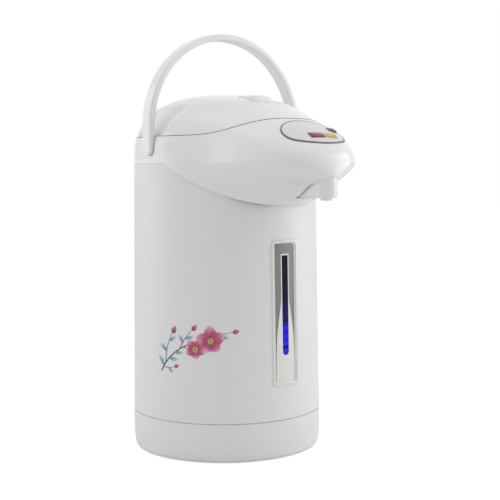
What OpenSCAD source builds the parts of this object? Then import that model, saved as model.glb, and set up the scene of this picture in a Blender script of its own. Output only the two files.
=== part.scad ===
// Electric thermo pot: a stainless vessel in an insulated casing, with a hinged domed lid, a folding bail
// handle, three push buttons on the nose and a motor pump that lifts water through a sight tube to the nozzle.
// Origin: centre of the resting face. +Z is up, the nose points along -Y, the bail swings about X.

/* [Body] */
// Radius of the casing where it meets the base
body_r = 98.5; // [94:0.5:102]
// Radius of the casing where it meets the upper housing
neck_r = 94.9; // [92:0.1:96]
// Height of the seam between base and casing
base_h = 39; // [34:1:44]
// Height of the seam between casing and upper housing
body_top = 295; // [290:1:298]
// Thickness of the painted steel casing
sheet_t = 1; // [0.8:0.1:1.4]
// Wall of the moulded housings
wall = 2.6; // [2:0.1:3.2]

/* [Head] */
// Height of the lid seam at the back and sides
seam_z = 322; // [320:0.5:324]
// Rise of the lid seam over the nose
seam_rise = 15.4; // [12:0.2:18]
// Height of the top of the dome
dome_top = 365.7; // [364:0.1:367]
// Gap at the lid seam
seam_gap = 0.5; // [0.3:0.1:0.8]
// Half angle over which the nose fades into the dome, in degrees
nose_spread = 32; // [28:1:36]

/* [Lid] */
// Distance of the lid hinge behind the axis
hinge_y = 42; // [41:0.5:43]
// Height of the lid hinge
hinge_z = 355; // [354.5:0.1:355.2]
// Radius of the lid hinge pin
hinge_pin_r = 1.5; // [1.2:0.1:1.7]
// Radius of the rolled rear edge of the lid, about the hinge
roll_r = 8.2; // [8:0.1:8.4]
// Depth of the lid's recess under the bail
tuck = 5.6; // [5:0.1:6]
// Radius of the vessel's mouth
mouth_r = 40; // [36:1:41]

/* [Handle] */
// Height of the handle pivots
pivot_z = 310; // [309:0.5:311]
// How far the bail's arch stands out beyond the neck of the casing
bail_out = 3.1; // [2.8:0.1:3.5]
// Height of the centre of the bail's arch
bail_z = 331.3; // [330:0.1:333]
// Thickness of the bail
bail_t = 7; // [6:0.5:7.5]
// Width of the bail
bail_w = 15; // [13:1:16]
// Radius of the handle pivot pins
pivot_r = 4; // [3:0.5:5]
// Room between a leg of the bail and the floor of its pocket
cheek_gap = 3.8; // [3.6:0.1:4.2]

/* [Spout] */
// Distance of the nozzle in front of the casing's neck
nozzle_out = 64.1; // [61.1:1:66.1]
// Height of the underside of the nozzle
nozzle_z = 261; // [259:1:263]
// Outer radius of the spout cover's round end
spout_r = 10.5; // [9.5:0.5:11]

/* [Level gauge] */
// Width of the gauge frame
gauge_w = 32; // [28:1:34]
// Height of the lower end of the gauge frame
gauge_z0 = 75; // [72:1:78]
// Height of the upper end of the gauge frame
gauge_z1 = 218; // [210:1:222]
// Width of the frame's border
gauge_border = 3.2; // [2.5:0.1:4]
// Outer radius of the sight tube
tube_r = 4; // [3.5:0.5:4.5]

/* [Buttons] */
// Half width of the oval panel across the nose
panel_a = 34.8; // [32:0.1:36]
// Half length of the oval panel along the nose
panel_b = 19.8; // [18:0.1:20.5]
// Distance of the panel's centre in front of the casing's neck
panel_out = 44.4; // [43.6:0.1:45.1]
// Width of a button
button_w = 14.4; // [11:0.1:15]
// Length of a button along the nose
button_l = 7.4; // [6:0.1:8]
// Travel of a button
button_travel = 1.5; // [1:0.1:2]

/* [Vessel] */
// Outer radius of the inner vessel
vessel_r = 80; // [78:0.5:80.5]
// Height of the vessel's floor
vessel_z = 70; // [69.8:0.1:70.6]
// Thickness of the vessel's steel
vessel_t = 0.8; // [0.6:0.1:1]

/* [Hidden] */
$fn = 72;
e = 0.01;
fit = 0.05;                     // radial clearance of a running fit
gap = 0.35;                     // clearance between neighbours on different bodies
pin_hole = pivot_r + fit;
bail_r = neck_r + bail_out;     // outer radius of the bail's arch
bail_in = bail_r - bail_t;      // inner radius of the arch
cheek_x = bail_in - cheek_gap;  // distance of the pocket floors from the middle plane
cheek_in = cheek_x - 2.8;       // inner face of the wall behind a pocket
nozzle_y = neck_r + nozzle_out; // distance of the nozzle in front of the axis
panel_y = neck_r + panel_out;   // distance of the panel's centre in front of the axis
pocket_y = -bail_w / 2 - 2.2;   // front wall of a handle pocket
tube_y = 6.3 - min(body_r, neck_r); // the sight tube stands close behind the gauge
pump_y = tube_y + 33.6;
hose_r = tube_r + 1.2;          // outer radius of the hoses on the sight tube
hose_bend = 7;
button_z = 6;
slope = 28;                     // fall of the nose's top, in degrees

// ---- the head's outer surface, as a radius about the axis ----
// How far the nose stands out beyond the neck straight ahead, at a few heights
reach = [[252, -0.5], [254.5, 16], [257.5, 30.5], [261, 42], [266.7, 52.7], [272, 61.4], [277, 67], [283, 70.4],
         [290, 72], [296, 72.1], [303, 71.1], [310, 66.6], [316, 60.6], [322, 51.6], [328, 39.6], [334, 25.6],
         [340, 12.6], [346, -0.9], [352, -13.9], [358.5, -34.9], [363, -56.9], [dome_top, -93.9]];
// Spread of the nose round the axis as a share of the full one: below it narrows to a keel
keel = [[255, 0.62], [270, 0.65], [278, 0.69], [283, 0.8], [290, 0.94], [297, 1]];
dome_z0 = 302.8;                // height at which the dome starts to close
function lean(z) = (body_r - neck_r) / (body_top - base_h) * (body_top - z);
function round_r(z) = z < dome_z0 ? neck_r - 0.1 + max(0, lean(z))
    : (neck_r - 0.1) * pow(max(0, 1 - pow((z - dome_z0) / (dome_top - dome_z0), 2.417)), 0.3875);
function blend(a, z = dome_z0) = exp(-pow(abs(a) / (nose_spread * lookup(z, keel)), 2.5));
function head_r(a, z) = let (r = round_r(z), l = (neck_r + lookup(z, reach)) / sqrt(max(cos(a), 0.4)))
    r + (max(l, r) - r) * blend(a, z);
function seam(a) = seam_z + seam_rise * exp(-pow(abs(a) / 34, 3));
function rim(a) = min(body_top, 252.8 + 0.0075 * a * a);
function shell_r(z) = neck_r + lean(z);
// The point at angle a from the nose, radius r and height z
function at(a, r, z) = [-r * sin(a), -r * cos(a), z];
function turn(i, n) = i * 360 / n - 180;
// Height of the surface above a point of the plan, by halving between two heights
function above(x, y, lo = 296, hi = 364, k = 0) = k > 16 ? (lo + hi) / 2 :
    let (m = (lo + hi) / 2, a = atan2(x, y))
    head_r(a, m) > norm([x, y]) ? above(x, y, m, hi, k + 1) : above(x, y, lo, m, k + 1);

// A closed skin from rings of points: each ring is a closed profile, and the rings go round the axis
module ring_loft(rings) {
    n = len(rings);
    m = len(rings[0]);
    points = [for (ring = rings) each ring];
    faces = [for (i = [0:n - 1], j = [0:m - 1]) let (i2 = (i + 1) % n, j2 = (j + 1) % m)
        each [[i * m + j, i2 * m + j, i2 * m + j2], [i * m + j, i2 * m + j2, i * m + j2]]];
    polyhedron(points, faces);
}

// Steps from the lower rim to the seam, close together where the nose turns
steps = [0, 0.03, 0.06, 0.1, 0.14, 0.19, 0.24, 0.3, 0.36, 0.43, 0.5, 0.57, 0.64, 0.76, 0.87, 1];
columns = 72;
function outer_r(a, z) = let (r = head_r(a, z))
    z < body_top - e && abs(a) < 76 ? max(r, shell_r(z) + 1.8 * min(1, (81 - abs(a)) / 15)) : r;
function inner_r(a, z, t) = min(outer_r(a, z) - t, abs(a) < 76 ? 999 : cheek_in / max(sin(abs(a)), 0.1));
function housing_profile(a) = let (z0 = rim(a), z1 = seam(a) - seam_gap / 2, g = blend(a))
    concat([for (u = steps) let (z = z0 + (z1 - z0) * u) at(a, outer_r(a, z), z)],
           [for (k = [len(steps) - 1:-1:0]) let (u = steps[k], z = z0 + (z1 - z0) * u)
               at(a, inner_r(a, z, wall * (1 + g)), z + wall * g * sin(360 * u))]);

// The closed dome above the seam, as a thick cap
cap_steps = [0, 0.14, 0.3, 0.46, 0.6, 0.73, 0.84, 0.92, 0.97];
function cap_z(a, u, low) = let (z0 = seam(a) + low) z0 + (dome_top - 0.2 - z0) * u;
// Depth of the recess under the bail at height z, and how much of it there is at angle a
function dip(z) = lookup(z, [[seam_z + 16, tuck], [seam_z + 24, tuck * 0.7], [seam_z + 32, 0]]);
function beside(a) = exp(-pow(abs(abs(a) - 86) / 27, 4));
function cap_in(a, z) = max(head_r(a, z) - wall - dip(z) * beside(a), 6);
module dome_cap(low) {
    n = columns;
    m = len(cap_steps);
    outer = [for (i = [0:n - 1], u = cap_steps) let (a = turn(i, n), z = cap_z(a, u, low)) at(a, head_r(a, z), z)];
    inner = [for (i = [0:n - 1], u = cap_steps) let (a = turn(i, n), z = cap_z(a, u, low))
        at(a, cap_in(a, z) * (1 - 0.06 * u), z - wall * u)];
    top = n * m * 2;
    points = concat(outer, inner, [[0, 0, dome_top], [0, 0, dome_top - wall]]);
    function id(i, j) = (i % n) * m + j;
    faces = concat(
        [for (i = [0:n - 1], j = [0:m - 2])
            each [[id(i, j), id(i + 1, j), id(i + 1, j + 1)], [id(i, j), id(i + 1, j + 1), id(i, j + 1)]]],
        [for (i = [0:n - 1]) [id(i, m - 1), id(i + 1, m - 1), top]],
        [for (i = [0:n - 1], j = [0:m - 2]) let (o = n * m)
            each [[o + id(i, j), o + id(i + 1, j + 1), o + id(i + 1, j)],
                  [o + id(i, j), o + id(i, j + 1), o + id(i + 1, j + 1)]]],
        [for (i = [0:n - 1]) let (o = n * m) [o + id(i, m - 1), top + 1, o + id(i + 1, m - 1)]],
        [for (i = [0:n - 1]) let (o = n * m)
            each [[id(i, 0), o + id(i + 1, 0), id(i + 1, 0)], [id(i, 0), o + id(i, 0), o + id(i + 1, 0)]]]);
    polyhedron(points, faces);
}

// ---- small helpers ----
module tube(r_out, r_in, h) {
    difference() {
        cylinder(r = r_out, h = h);
        translate([0, 0, -1]) cylinder(r = r_in, h = h + 2);
    }
}
module along_x() { rotate([0, 90, 0]) children(); }
module along_y() { rotate([-90, 0, 0]) children(); }
module both_sides() { for (s = [0, 1]) mirror([s, 0, 0]) children(); }
module ring_of(n, r, from = 0) { for (i = [0:n - 1]) rotate(from + i * 360 / n) translate([r, 0, 0]) children(); }
// A bent tube in the YZ plane: a quarter turn of radius bend
module quarter(bend, r_out, r_in) {
    rotate([90, 0, 90]) rotate_extrude(angle = 90) translate([bend, 0]) difference() {
        circle(r = r_out, $fn = 32);
        circle(r = r_in, $fn = 32);
    }
}
module rounded_rect(w, h, r) {
    union() {
        square([w - 2 * r, h], center = true);
        square([w, h - 2 * r], center = true);
        for (x = [-1, 1], y = [-1, 1]) translate([x * (w / 2 - r), y * (h / 2 - r)]) circle(r = r);
    }
}
// A slab standing on the casing's front, following its taper: from inset to proud of the surface
module casing_slice(inset, proud) {
    rotate_extrude(angle = 40, start = 250) polygon([for (p = [[inset, 60], [proud, 60], [proud, 235], [inset, 235]])
        [shell_r(p[1]) + p[0], p[1]]]);
}
module gauge_prism(shrink) {
    translate([0, -60, (gauge_z0 + gauge_z1) / 2]) rotate([90, 0, 0])
        linear_extrude(50) rounded_rect(gauge_w - 2 * shrink, gauge_z1 - gauge_z0 - 2 * shrink, 5 - min(shrink, 3.5));
}
module screw(r, h) {
    union() {
        cylinder(r = r, h = h, $fn = 24);
        translate([0, 0, -1.6]) cylinder(r = r * 2, h = 1.6, $fn = 24);
    }
}
// Places its children on the nose's top, with Z along the surface
module on_nose(x, y) { translate([x, -y, above(x, y)]) rotate([slope, 0, 0]) children(); }

// ---- base ----
foot_r = body_r - 17.5;         // outer radius of the rubber foot
cover_z = 2.6;                  // underside of the bottom cover
cover_t = 2.2;
rim_screw_r = body_r - 11;      // radius of the screws that hold the cover to the ring
leg_r = foot_r - 11;            // radius of the vessel tray's legs
cover_r = body_r - 6.9;         // outer radius of the bottom cover
inlet_w = 30;
inlet_z = 12;
inlet_h = 22;
// Lip, floor and foot of the base ring, as distances inside the casing's radius
module base_ring() color("#dcdcd6") difference() {
    rotate_extrude() polygon([for (p = [[14.5, cover_z + cover_t + 0.1], [6.6, cover_z + cover_t + 0.1], [6.6, 2.4],
        [5.3, 0.8], [3.1, 1.2], [1.5, 3.2], [0.6, 9], [-0.1, 20], [-0.1, base_h - 0.7], [0.6, base_h - 0.05],
        [sheet_t + 0.4, base_h - 0.05], [sheet_t + 0.4, base_h + 6], [3.5, base_h + 6], [3.9, 9], [6.6, 7.2],
        [14.5, 7.2]]) [body_r - p[0], p[1]]]);
    translate([-inlet_w / 2 - 0.3, body_r - 18.5, inlet_z - 0.3]) cube([inlet_w + 0.6, 30, inlet_h + 0.6]);
    translate([-inlet_w / 2 - 2.3, body_r - 1.5, inlet_z - 2.3]) cube([inlet_w + 4.6, 10, inlet_h + 4.6]);
    ring_of(4, rim_screw_r, 45) cylinder(r = 1.75, h = 12, $fn = 24);
}
module bottom_cover() color("#c9c9c3") difference() {
    union() {
        translate([0, 0, cover_z]) cylinder(r = cover_r, h = cover_t);
        translate([0, 0, 1.2]) tube(foot_r + 2, foot_r + 0.05, 2);
        translate([0, 0, 1.2]) tube(foot_r - 4.05, foot_r - 6, 2);
    }
    for (y = [-2:2]) translate([-20, y * 7 + 34, -1]) cube([40, 3, 12]);
    ring_of(4, rim_screw_r, 45) cylinder(r = 1.75, h = 12, $fn = 24);
    ring_of(3, leg_r, 90) cylinder(r = 1.75, h = 12, $fn = 24);
}
module foot_ring() color("#303030") tube(foot_r, foot_r - 4, cover_z - 0.05);
module base_screws() color("#b8b8b8") {
    ring_of(4, rim_screw_r, 45) translate([0, 0, cover_z - 0.05]) screw(1.7, 9);
    ring_of(3, leg_r, 90) translate([0, 0, cover_z - 0.05]) screw(1.7, 9);
}
module power_inlet() color("#2a2a2a") difference() {
    union() {
        translate([-inlet_w / 2, body_r - 18.5, inlet_z]) cube([inlet_w, 18, inlet_h]);
        translate([-inlet_w / 2 - 2, body_r - 1.4, inlet_z - 2]) cube([inlet_w + 4, 2.3, inlet_h + 4]);
    }
    translate([-inlet_w / 2 + 3, body_r - 14.5, inlet_z + 3]) cube([inlet_w - 6, 30, inlet_h - 6]);
    for (x = [-6, 6]) translate([x, body_r - 28.5, inlet_z + inlet_h / 2]) along_y() cylinder(r = 2.05, h = 20, $fn = 24);
}
module inlet_pins() color("#c8a850") for (x = [-6, 6])
    translate([x, body_r - 22, inlet_z + inlet_h / 2]) along_y() cylinder(r = 2, h = 18, $fn = 24);

// ---- casing and gauge ----
module body_shell() color("#e6e7ea") difference() {
    rotate_extrude() polygon([[body_r - sheet_t, base_h], [body_r, base_h],
        [neck_r, body_top], [neck_r - sheet_t, body_top]]);
    gauge_prism(gauge_border - 0.6);
    translate([-13, -110, 258]) cube([26, 40, 28]);
}
module gauge_frame() color("#dfe0e2") difference() {
    intersection() {
        casing_slice(-2.4, 1);
        gauge_prism(0);
    }
    gauge_prism(gauge_border);
    difference() {
        casing_slice(-3, 0.05);
        gauge_prism(gauge_border - 0.55);
    }
}
module gauge_lens() color("#8a8c90") intersection() {
    casing_slice(-2.2, -0.6);
    gauge_prism(gauge_border + 0.1);
}
// The mask behind the lens: its slot, square above and round below, shows the sight tube
slot_r = 3;
slot_z0 = gauge_z0 + 29;
slot_z1 = gauge_z1 - 14.5;
module gauge_mask() color("#8a8c90") difference() {
    intersection() {
        casing_slice(-3.2, -2.5);
        gauge_prism(gauge_border + 0.1);
    }
    translate([0, -80, slot_z0 + slot_r]) rotate([90, 0, 0]) linear_extrude(40) union() {
        circle(r = slot_r);
        translate([-slot_r, 0]) square([2 * slot_r, slot_z1 - slot_z0 - slot_r]);
    }
}
module gauge_backing() color("#f4f4f4")
    translate([-13, tube_y + tube_r + 0.2, gauge_z0 + 2]) cube([26, 0.8, gauge_z1 - gauge_z0 - 4]);
module sight_tube() color("#4f5bd0") translate([0, tube_y, 54]) tube(tube_r, tube_r - 1, 196);
module level_float() color("#2a2af0") translate([0, tube_y, slot_z0 + 5]) sphere(r = tube_r - 1.3);

// ---- upper housing ----
module pocket_prism() {
    translate([cheek_x, pocket_y, pivot_z - 11]) cube([30, 60, 60]);
}
module collar() color("#e3e3de") difference() {
    union() {
        difference() {
            ring_loft([for (i = [0:columns - 1]) housing_profile(turn(i, columns))]);
            both_sides() pocket_prism();
            translate([0, 0, body_top - 60]) cylinder(r1 = shell_r(body_top - 60) + 0.3, r2 = neck_r + 0.3, h = 60);
        }
        both_sides() translate([cheek_x - 1, 0, pivot_z]) along_x() cylinder(r = 7.5, h = bail_in - cheek_x + 1 - gap);
    }
    both_sides() translate([80, 0, pivot_z]) along_x() cylinder(r = pin_hole, h = 30);
    translate([0, -nozzle_y, 240]) cylinder(r = spout_r + 1, h = slot_top - 240);
    translate([-spout_r - 1, -nozzle_y, 240]) cube([2 * spout_r + 2, 66, slot_top - 240]);
    for (b = buttons) on_nose(b.x, b.y) translate([0, 0, -8]) cube([b.z + 1.4, button_l + 1.4, 30], center = true);
}
// The lid's side of the seam with the hood: above the hinge it is rolled about the hinge, so that it turns free
function roll(r) = [for (t = [0:9:90]) [hinge_y + r * sin(t), hinge_z + r * cos(t)]];
module lid_zone(grow) {
    translate([-120, 0, 0]) rotate([90, 0, 90]) linear_extrude(240) polygon(concat([[-200, 400], [hinge_y, 400]],
        roll(roll_r + grow), [[hinge_y + 3 + grow, seam_z - 6], [hinge_y + 3 + grow, 250], [-200, 250]]));
}
// The space under the dome's inner skin
module under_dome() {
    z0 = seam_z + seam_gap / 2;
    rotate_extrude() polygon(concat([[0, z0 - 3]],
        [for (u = cap_steps) let (z = z0 + (dome_top - 0.2 - z0) * u)
            [(round_r(z) - wall) * (1 - 0.06 * u) - 0.4, z - wall * u - 0.4]], [[0, dome_top - wall - 0.6]]));
}
module rear_hood() color("#e3e3de") difference() {
    dome_cap(0.05 - seam_gap / 2);
    lid_zone(0.5);
}
pin_cover = 1;                  // plastic left over the end of a pivot pin
module handle_pins() color("#b8b8b8") both_sides() translate([cheek_in - 2, 0, pivot_z]) along_x() union() {
    cylinder(r = pivot_r, h = bail_r - pin_cover - cheek_in + 2);
    cylinder(r = pivot_r * 1.7, h = 1.9);
}
deck_z = 300;                   // underside of the deck at its rim
deck_r = neck_r - wall - 0.6;
deck_screw_r = deck_r - 6.7;    // radius of the screws that hold the deck
module mouth_ring() color("#d8d8d2") difference() {
    rotate_extrude() polygon([[mouth_r + 1.2, deck_z - 3], [mouth_r + 3.6, deck_z - 3], [mouth_r + 3.6, deck_z + 11],
        [deck_r - 11.7, deck_z], [deck_r, deck_z], [deck_r, deck_z + 2.4], [deck_r - 10.7, deck_z + 2.4],
        [mouth_r + 6, deck_z + 17.6],
        [mouth_r + 1.2, deck_z + 17.6]]);
    both_sides() translate([cheek_in - 1, -100, deck_z - 10]) cube([40, 200, 50]);
    ring_of(4, deck_screw_r, 60) cylinder(r = 1.65, h = 400, $fn = 24);
}
module housing_screws() color("#b8b8b8") ring_of(4, deck_screw_r, 60) translate([0, 0, deck_z + 2.45])
    mirror([0, 0, 1]) screw(1.6, 7);

// ---- spout ----
slot_top = nozzle_z + 25;       // roof of the slot that the spout cover enters
spout_back = shell_r(nozzle_z) + 0.35;
module spout_cover() color("#dededa") difference() {
    h = slot_top - 0.35 - nozzle_z;
    union() {
        translate([0, -nozzle_y, nozzle_z]) cylinder(r = spout_r, h = h);
        translate([-spout_r, -nozzle_y, nozzle_z]) cube([2 * spout_r, nozzle_y - spout_back, h]);
    }
    translate([0, -nozzle_y, nozzle_z + 2]) cylinder(r = spout_r - 2, h = 30);
    translate([-spout_r + 2, -nozzle_y, nozzle_z + 2]) cube([2 * spout_r - 4, 80, 30]);
    translate([0, -nozzle_y, 240]) cylinder(r = 5.6, h = 40);
}
elbow_z = nozzle_z + 11;        // height at which the spout hose turns forward
module nozzle() color("#cfcfca") translate([0, -nozzle_y, 0]) difference() {
    union() {
        translate([0, 0, nozzle_z - 2.5]) cylinder(r = 5.5, h = 5);
        translate([0, 0, nozzle_z + 2.1]) cylinder(r = 7.6, h = 1.6);
        translate([0, 0, nozzle_z + 2.1]) cylinder(r = tube_r, h = elbow_z - nozzle_z - 3);
    }
    translate([0, 0, 240]) cylinder(r = tube_r - 1, h = 50);
}
module spout_hose() color("#e8e8e8") {
    translate([0, tube_y, 246]) tube(hose_r, tube_r + fit, elbow_z - 246);
    translate([0, tube_y - hose_bend, elbow_z]) quarter(hose_bend, hose_r, tube_r);
    translate([0, tube_y - hose_bend, elbow_z + hose_bend]) rotate([90, 0, 0])
        tube(hose_r, tube_r, nozzle_y + tube_y - 2 * hose_bend);
    translate([0, hose_bend - nozzle_y, elbow_z]) mirror([0, 1, 0]) quarter(hose_bend, hose_r, tube_r);
    translate([0, -nozzle_y, nozzle_z + 4]) tube(hose_r, tube_r + fit, elbow_z - nozzle_z - 4);
}

// ---- lid ----
// The recess under the bail, wide enough for the lid to open below it
module arch_relief() intersection() {
    rotate_extrude() polygon(concat([for (p = [[0, -4], [0, 0], [1, 4], [3.1, 8], [5.3, 12], [7.9, 16], [10.5, 20],
        [13.4, 24], [16.5, 28], [20.7, 31.8]]) [cheek_x - p[0] - (tuck - 5) * min(1, p[1] / 8), seam_z + p[1]]],
        [[120, seam_z + 31.8], [120, seam_z - 4]]));
    rotate([90, 0, 90]) translate([0, 0, -130]) linear_extrude(260) polygon([[pocket_y - 4, seam_z - 4],
        [pocket_y - 5.3, seam_z], [pocket_y - 10.3, seam_z + 13], [pocket_y - 20.3, seam_z + 33],
        [24, seam_z + 33], [24, seam_z - 4]]);
}
lever_y = -45;                  // pivot of the lid lever
lever_z = 358.5;
lever_roll = 4.6;               // radius of the lever's rolled rear edge
lever_tip = -86;
lever_w = 37;
ear_x = 14.4;                   // inner face of the ears that carry the lever
ear_t = 3;
module lever_plan(grow) {
    translate([0, lever_tip + 22, 310]) linear_extrude(70) intersection() {
        union() {
            circle(r = 22 + grow);
            translate([-30, 0]) square([60, 60]);
        }
        translate([-lever_w / 2 - grow, -40]) square([lever_w + 2 * grow, 40 + lever_y + lever_roll - lever_tip - 22 + grow]);
    }
}
boss_at = [[50, -34], [50, 18], [-50, 18], [-50, -34]];
inner_z = 322.6;                // underside of the inner lid
inner_t = 3;
module lid_cover() color("#e9e9e4") difference() {
    union() {
        difference() {
            intersection() {
                dome_cap(seam_gap / 2);
                lid_zone(0);
            }
            arch_relief();
            lever_plan(0.5);
            translate([-28.4, hinge_y, hinge_z]) along_x() cylinder(r = knuckle_r + 0.4, h = 56.8);
        }
        for (p = boss_at) translate([p.x, p.y, inner_z + inner_t + 0.1])
            cylinder(r = 4, h = above(p.x, -p.y) - 1.5 - inner_z - inner_t, $fn = 24);
    }
    for (p = boss_at) translate([p.x, p.y, 300]) cylinder(r = 1.65, h = 36, $fn = 24);
}
module inner_lid() color("#d2d2cc") difference() {
    union() {
        intersection() {
            translate([0, 0, inner_z]) cylinder(r = cheek_in - 2, h = inner_t);
            translate([-100, -100, 320]) cube([200, 100 + hinge_y - 0.4, 10]);
        }
        translate([0, 0, inner_z - 4]) cylinder(r = mouth_r - 3, h = 5);
    }
    for (x = [-12, 12]) translate([x, 0, 300]) cylinder(r = 2.5, h = 60, $fn = 24);
    for (p = boss_at) translate([p.x, p.y, 300]) cylinder(r = 1.65, h = 36, $fn = 24);
}
module lid_gasket() color("#f2f2f0") translate([0, 0, inner_z - 4.6]) tube(mouth_r + 4.4, mouth_r - 2.9, 4.5);
module steam_cap() color("#d2d2cc") translate([0, 0, inner_z + inner_t + 0.1]) difference() {
    cylinder(r = 18, h = 7);
    translate([0, 0, -1]) cylinder(r = 16, h = 6.5);
    for (y = [-4.5, -0.75, 3]) translate([-8, y, 5]) cube([16, 1.5, 5]);
}
module lid_screws() color("#b8b8b8") for (p = boss_at) translate([p.x, p.y, inner_z - 0.05]) screw(1.6, 12);
knuckle_r = 3.2;
module hinge_knuckle(x0, x1) {
    translate([x0, hinge_y, hinge_z]) along_x() tube(knuckle_r, hinge_pin_r + fit, x1 - x0);
}
module lid_hinge_leaf() color("#d2d2cc") both_sides() {
    difference() {
        union() {
            translate([9, hinge_y, hinge_z]) along_x() cylinder(r = knuckle_r, h = 11);
            intersection() {
                translate([9, hinge_y - 14, hinge_z - knuckle_r]) cube([11, 14, 20]);
                under_dome();
            }
        }
        translate([0, hinge_y, hinge_z]) along_x() cylinder(r = hinge_pin_r + fit, h = 40);
    }
}
module hood_hinge_leaf() color("#d2d2cc") union() {
    hinge_knuckle(-8.6, 8.6);
    both_sides() hinge_knuckle(20.4, 27);
    difference() {
        intersection() {
            union() {
                translate([-27, hinge_y - 1.6, hinge_z - roll_r - 3.4]) cube([54, 40, 3]);
                translate([-8.6, hinge_y - 1.6, hinge_z - roll_r - 1]) cube([17.2, 3.2, roll_r + 1]);
                both_sides() translate([20.4, hinge_y - 1.6, hinge_z - roll_r - 1]) cube([6.6, 3.2, roll_r + 1]);
            }
            under_dome();
        }
        translate([-30, hinge_y, hinge_z]) along_x() cylinder(r = hinge_pin_r + fit, h = 60);
    }
}
module hinge_pin() color("#b8b8b8") translate([-28, hinge_y, hinge_z]) along_x() cylinder(r = hinge_pin_r, h = 56);
module latch_lever() color("#e9e9e4") difference() {
    union() {
        intersection() {
            lever_plan(0);
            rotate([90, 0, 90]) translate([0, 0, -25]) linear_extrude(50) polygon([[lever_y, lever_z - 1.5],
                [lever_y, lever_z + lever_roll], [-51, 364.4], [-58, 364.4], [-65, 363.2], [-72, 361], [-78, 358.4],
                [-82.6, 355.4], [lever_tip, 351], [lever_tip + 1, 348.4], [-79, 351], [-70, 354.6], [-57, 357.4]]);
        }
        translate([-ear_x + 0.4, lever_y, lever_z]) along_x() cylinder(r = lever_roll, h = 2 * ear_x - 0.8);
        for (x = [-12, 8]) translate([x, lever_y - 2.5, latch_bolt_z + 0.6])
            cube([4, 5, lever_z - 1 - latch_bolt_z - 0.6]);
    }
    translate([-30, lever_y, lever_z]) along_x() cylinder(r = 1.55, h = 60, $fn = 24);
    translate([-6, lever_y - 8, lever_z - 8]) cube([12, 16, 8.5 + 2.6]);
    both_sides() translate([ear_x - 0.4, lever_y - 4.2, lever_z - 12]) cube([20, 20, 30]);
}
module latch_pin() color("#b8b8b8") translate([-ear_x - ear_t, lever_y, lever_z]) along_x()
    cylinder(r = 1.5, h = 2 * (ear_x + ear_t), $fn = 24);
latch_bolt_z = 332;             // underside of the bolt
tray_floor = inner_z + inner_t + 0.1;
module latch_tray() color("#d2d2cc") union() {
    both_sides() difference() {
        translate([ear_x, lever_y - 3.5, tray_floor]) cube([ear_t, 7, lever_z + 1.8 - tray_floor]);
        translate([0, lever_y, lever_z]) along_x() cylinder(r = 1.52, h = 60, $fn = 24);
    }
    difference() {
        translate([-20, lever_tip, tray_floor]) cube([40, 44.5, latch_bolt_z - 0.1 - tray_floor]);
        translate([-13, lever_tip + 3, tray_floor - 1]) cube([26, 34, 20]);
    }
    both_sides() translate([10.1, lever_tip + 4, latch_bolt_z - 0.5]) cube([4, 22, 4]);
}
bolt_tip = -105;
module latch_bolt() color("#b8b8b8") difference() {
    translate([-10, bolt_tip, latch_bolt_z]) cube([20, lever_y + 6 - bolt_tip, 3]);
    for (x = [-12.6, 7.4]) translate([x, lever_y - 3.1, latch_bolt_z - 1]) cube([5.2, 6.2, 5]);
}
module latch_spring() color("#a8a8a8") translate([-5, lever_y, lever_z]) along_x() tube(2.4, 1.7, 10);

// ---- handle ----
module handle() color("#e9e9e4") difference() {
    union() {
        translate([0, 0, bail_z]) rotate([90, 0, 0]) rotate_extrude(angle = 180)
            translate([bail_in + bail_t / 2, 0]) rounded_rect(bail_t, bail_w, 2.4);
        both_sides() translate([bail_in + bail_t / 2, 0, pivot_z]) linear_extrude(bail_z - pivot_z)
            rounded_rect(bail_t, bail_w, 2.4);
        both_sides() translate([bail_in, 0, pivot_z]) along_x() cylinder(r = bail_w / 2, h = bail_t);
    }
    both_sides() translate([80, 0, pivot_z]) along_x() cylinder(r = pin_hole, h = bail_r - pin_cover + fit - 80);
}

// ---- nose controls ----
// Centre of each button in plan and its width: the wide one, the pouring one and the far one
buttons = [[-4.4, panel_y + 10.8, button_w], [12.2, panel_y + 10.3, button_w - 0.6], [25, panel_y - 1.8, button_w - 4.4]];
panel_rings = [0.001, 0.35, 0.65, 0.88, 1];
module panel_plate() color("#d0d1d2") difference() {
    n = 40;
    plan = [for (i = [0:n - 1], k = panel_rings) [panel_a * k * cos(i * 360 / n), panel_y + panel_b * k * sin(i * 360 / n)]];
    lift = function (p, h) [p.x, -p.y, above(p.x, p.y) + h];
    rings = [for (i = [0:n - 1]) let (m = len(panel_rings), row = [for (k = [0:m - 1]) plan[i * m + k]])
        concat([for (p = row) lift(p, 1)], [for (k = [m - 1:-1:0]) lift(row[k], 0.15)])];
    ring_loft(rings);
    for (b = buttons) on_nose(b.x, b.y) cube([b.z + 0.8, button_l + 0.8, 20], center = true);
}
module push_button(b) {
    on_nose(b.x, b.y) union() {
        translate([-b.z / 2, -button_l / 2, 1.9 - button_z]) cube([b.z, button_l, button_z]);
        translate([0, 0, 0.5 - button_z]) cylinder(r = 2, h = 2, $fn = 24);
    }
}
module button_reboil() color("#8c3850") push_button(buttons[0]);
module button_pour() color("#b8b050") push_button(buttons[1]);
module button_lock() color("#5c2438") push_button(buttons[2]);
board_z = -11.5;                // top of the button board, below the nose's surface
module button_board() color("#3f7a4a") union() {
    on_nose(9, panel_y + 5.7) {
        translate([-24, -7.5, board_z - 1.6]) cube([42, 16.5, 1.6]);
        for (p = [[-21, 6], [-21, -4], [15, -4]]) translate([p.x, p.y, board_z - 1]) cylinder(r = 1.6, h = 4, $fn = 24);
    }
    for (b = buttons) on_nose(b.x, b.y) translate([0, 0, board_z - 1])
        cylinder(r = 2.6, h = 1 - board_z + 0.5 - button_z - button_travel - 0.3, $fn = 24);
}

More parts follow.
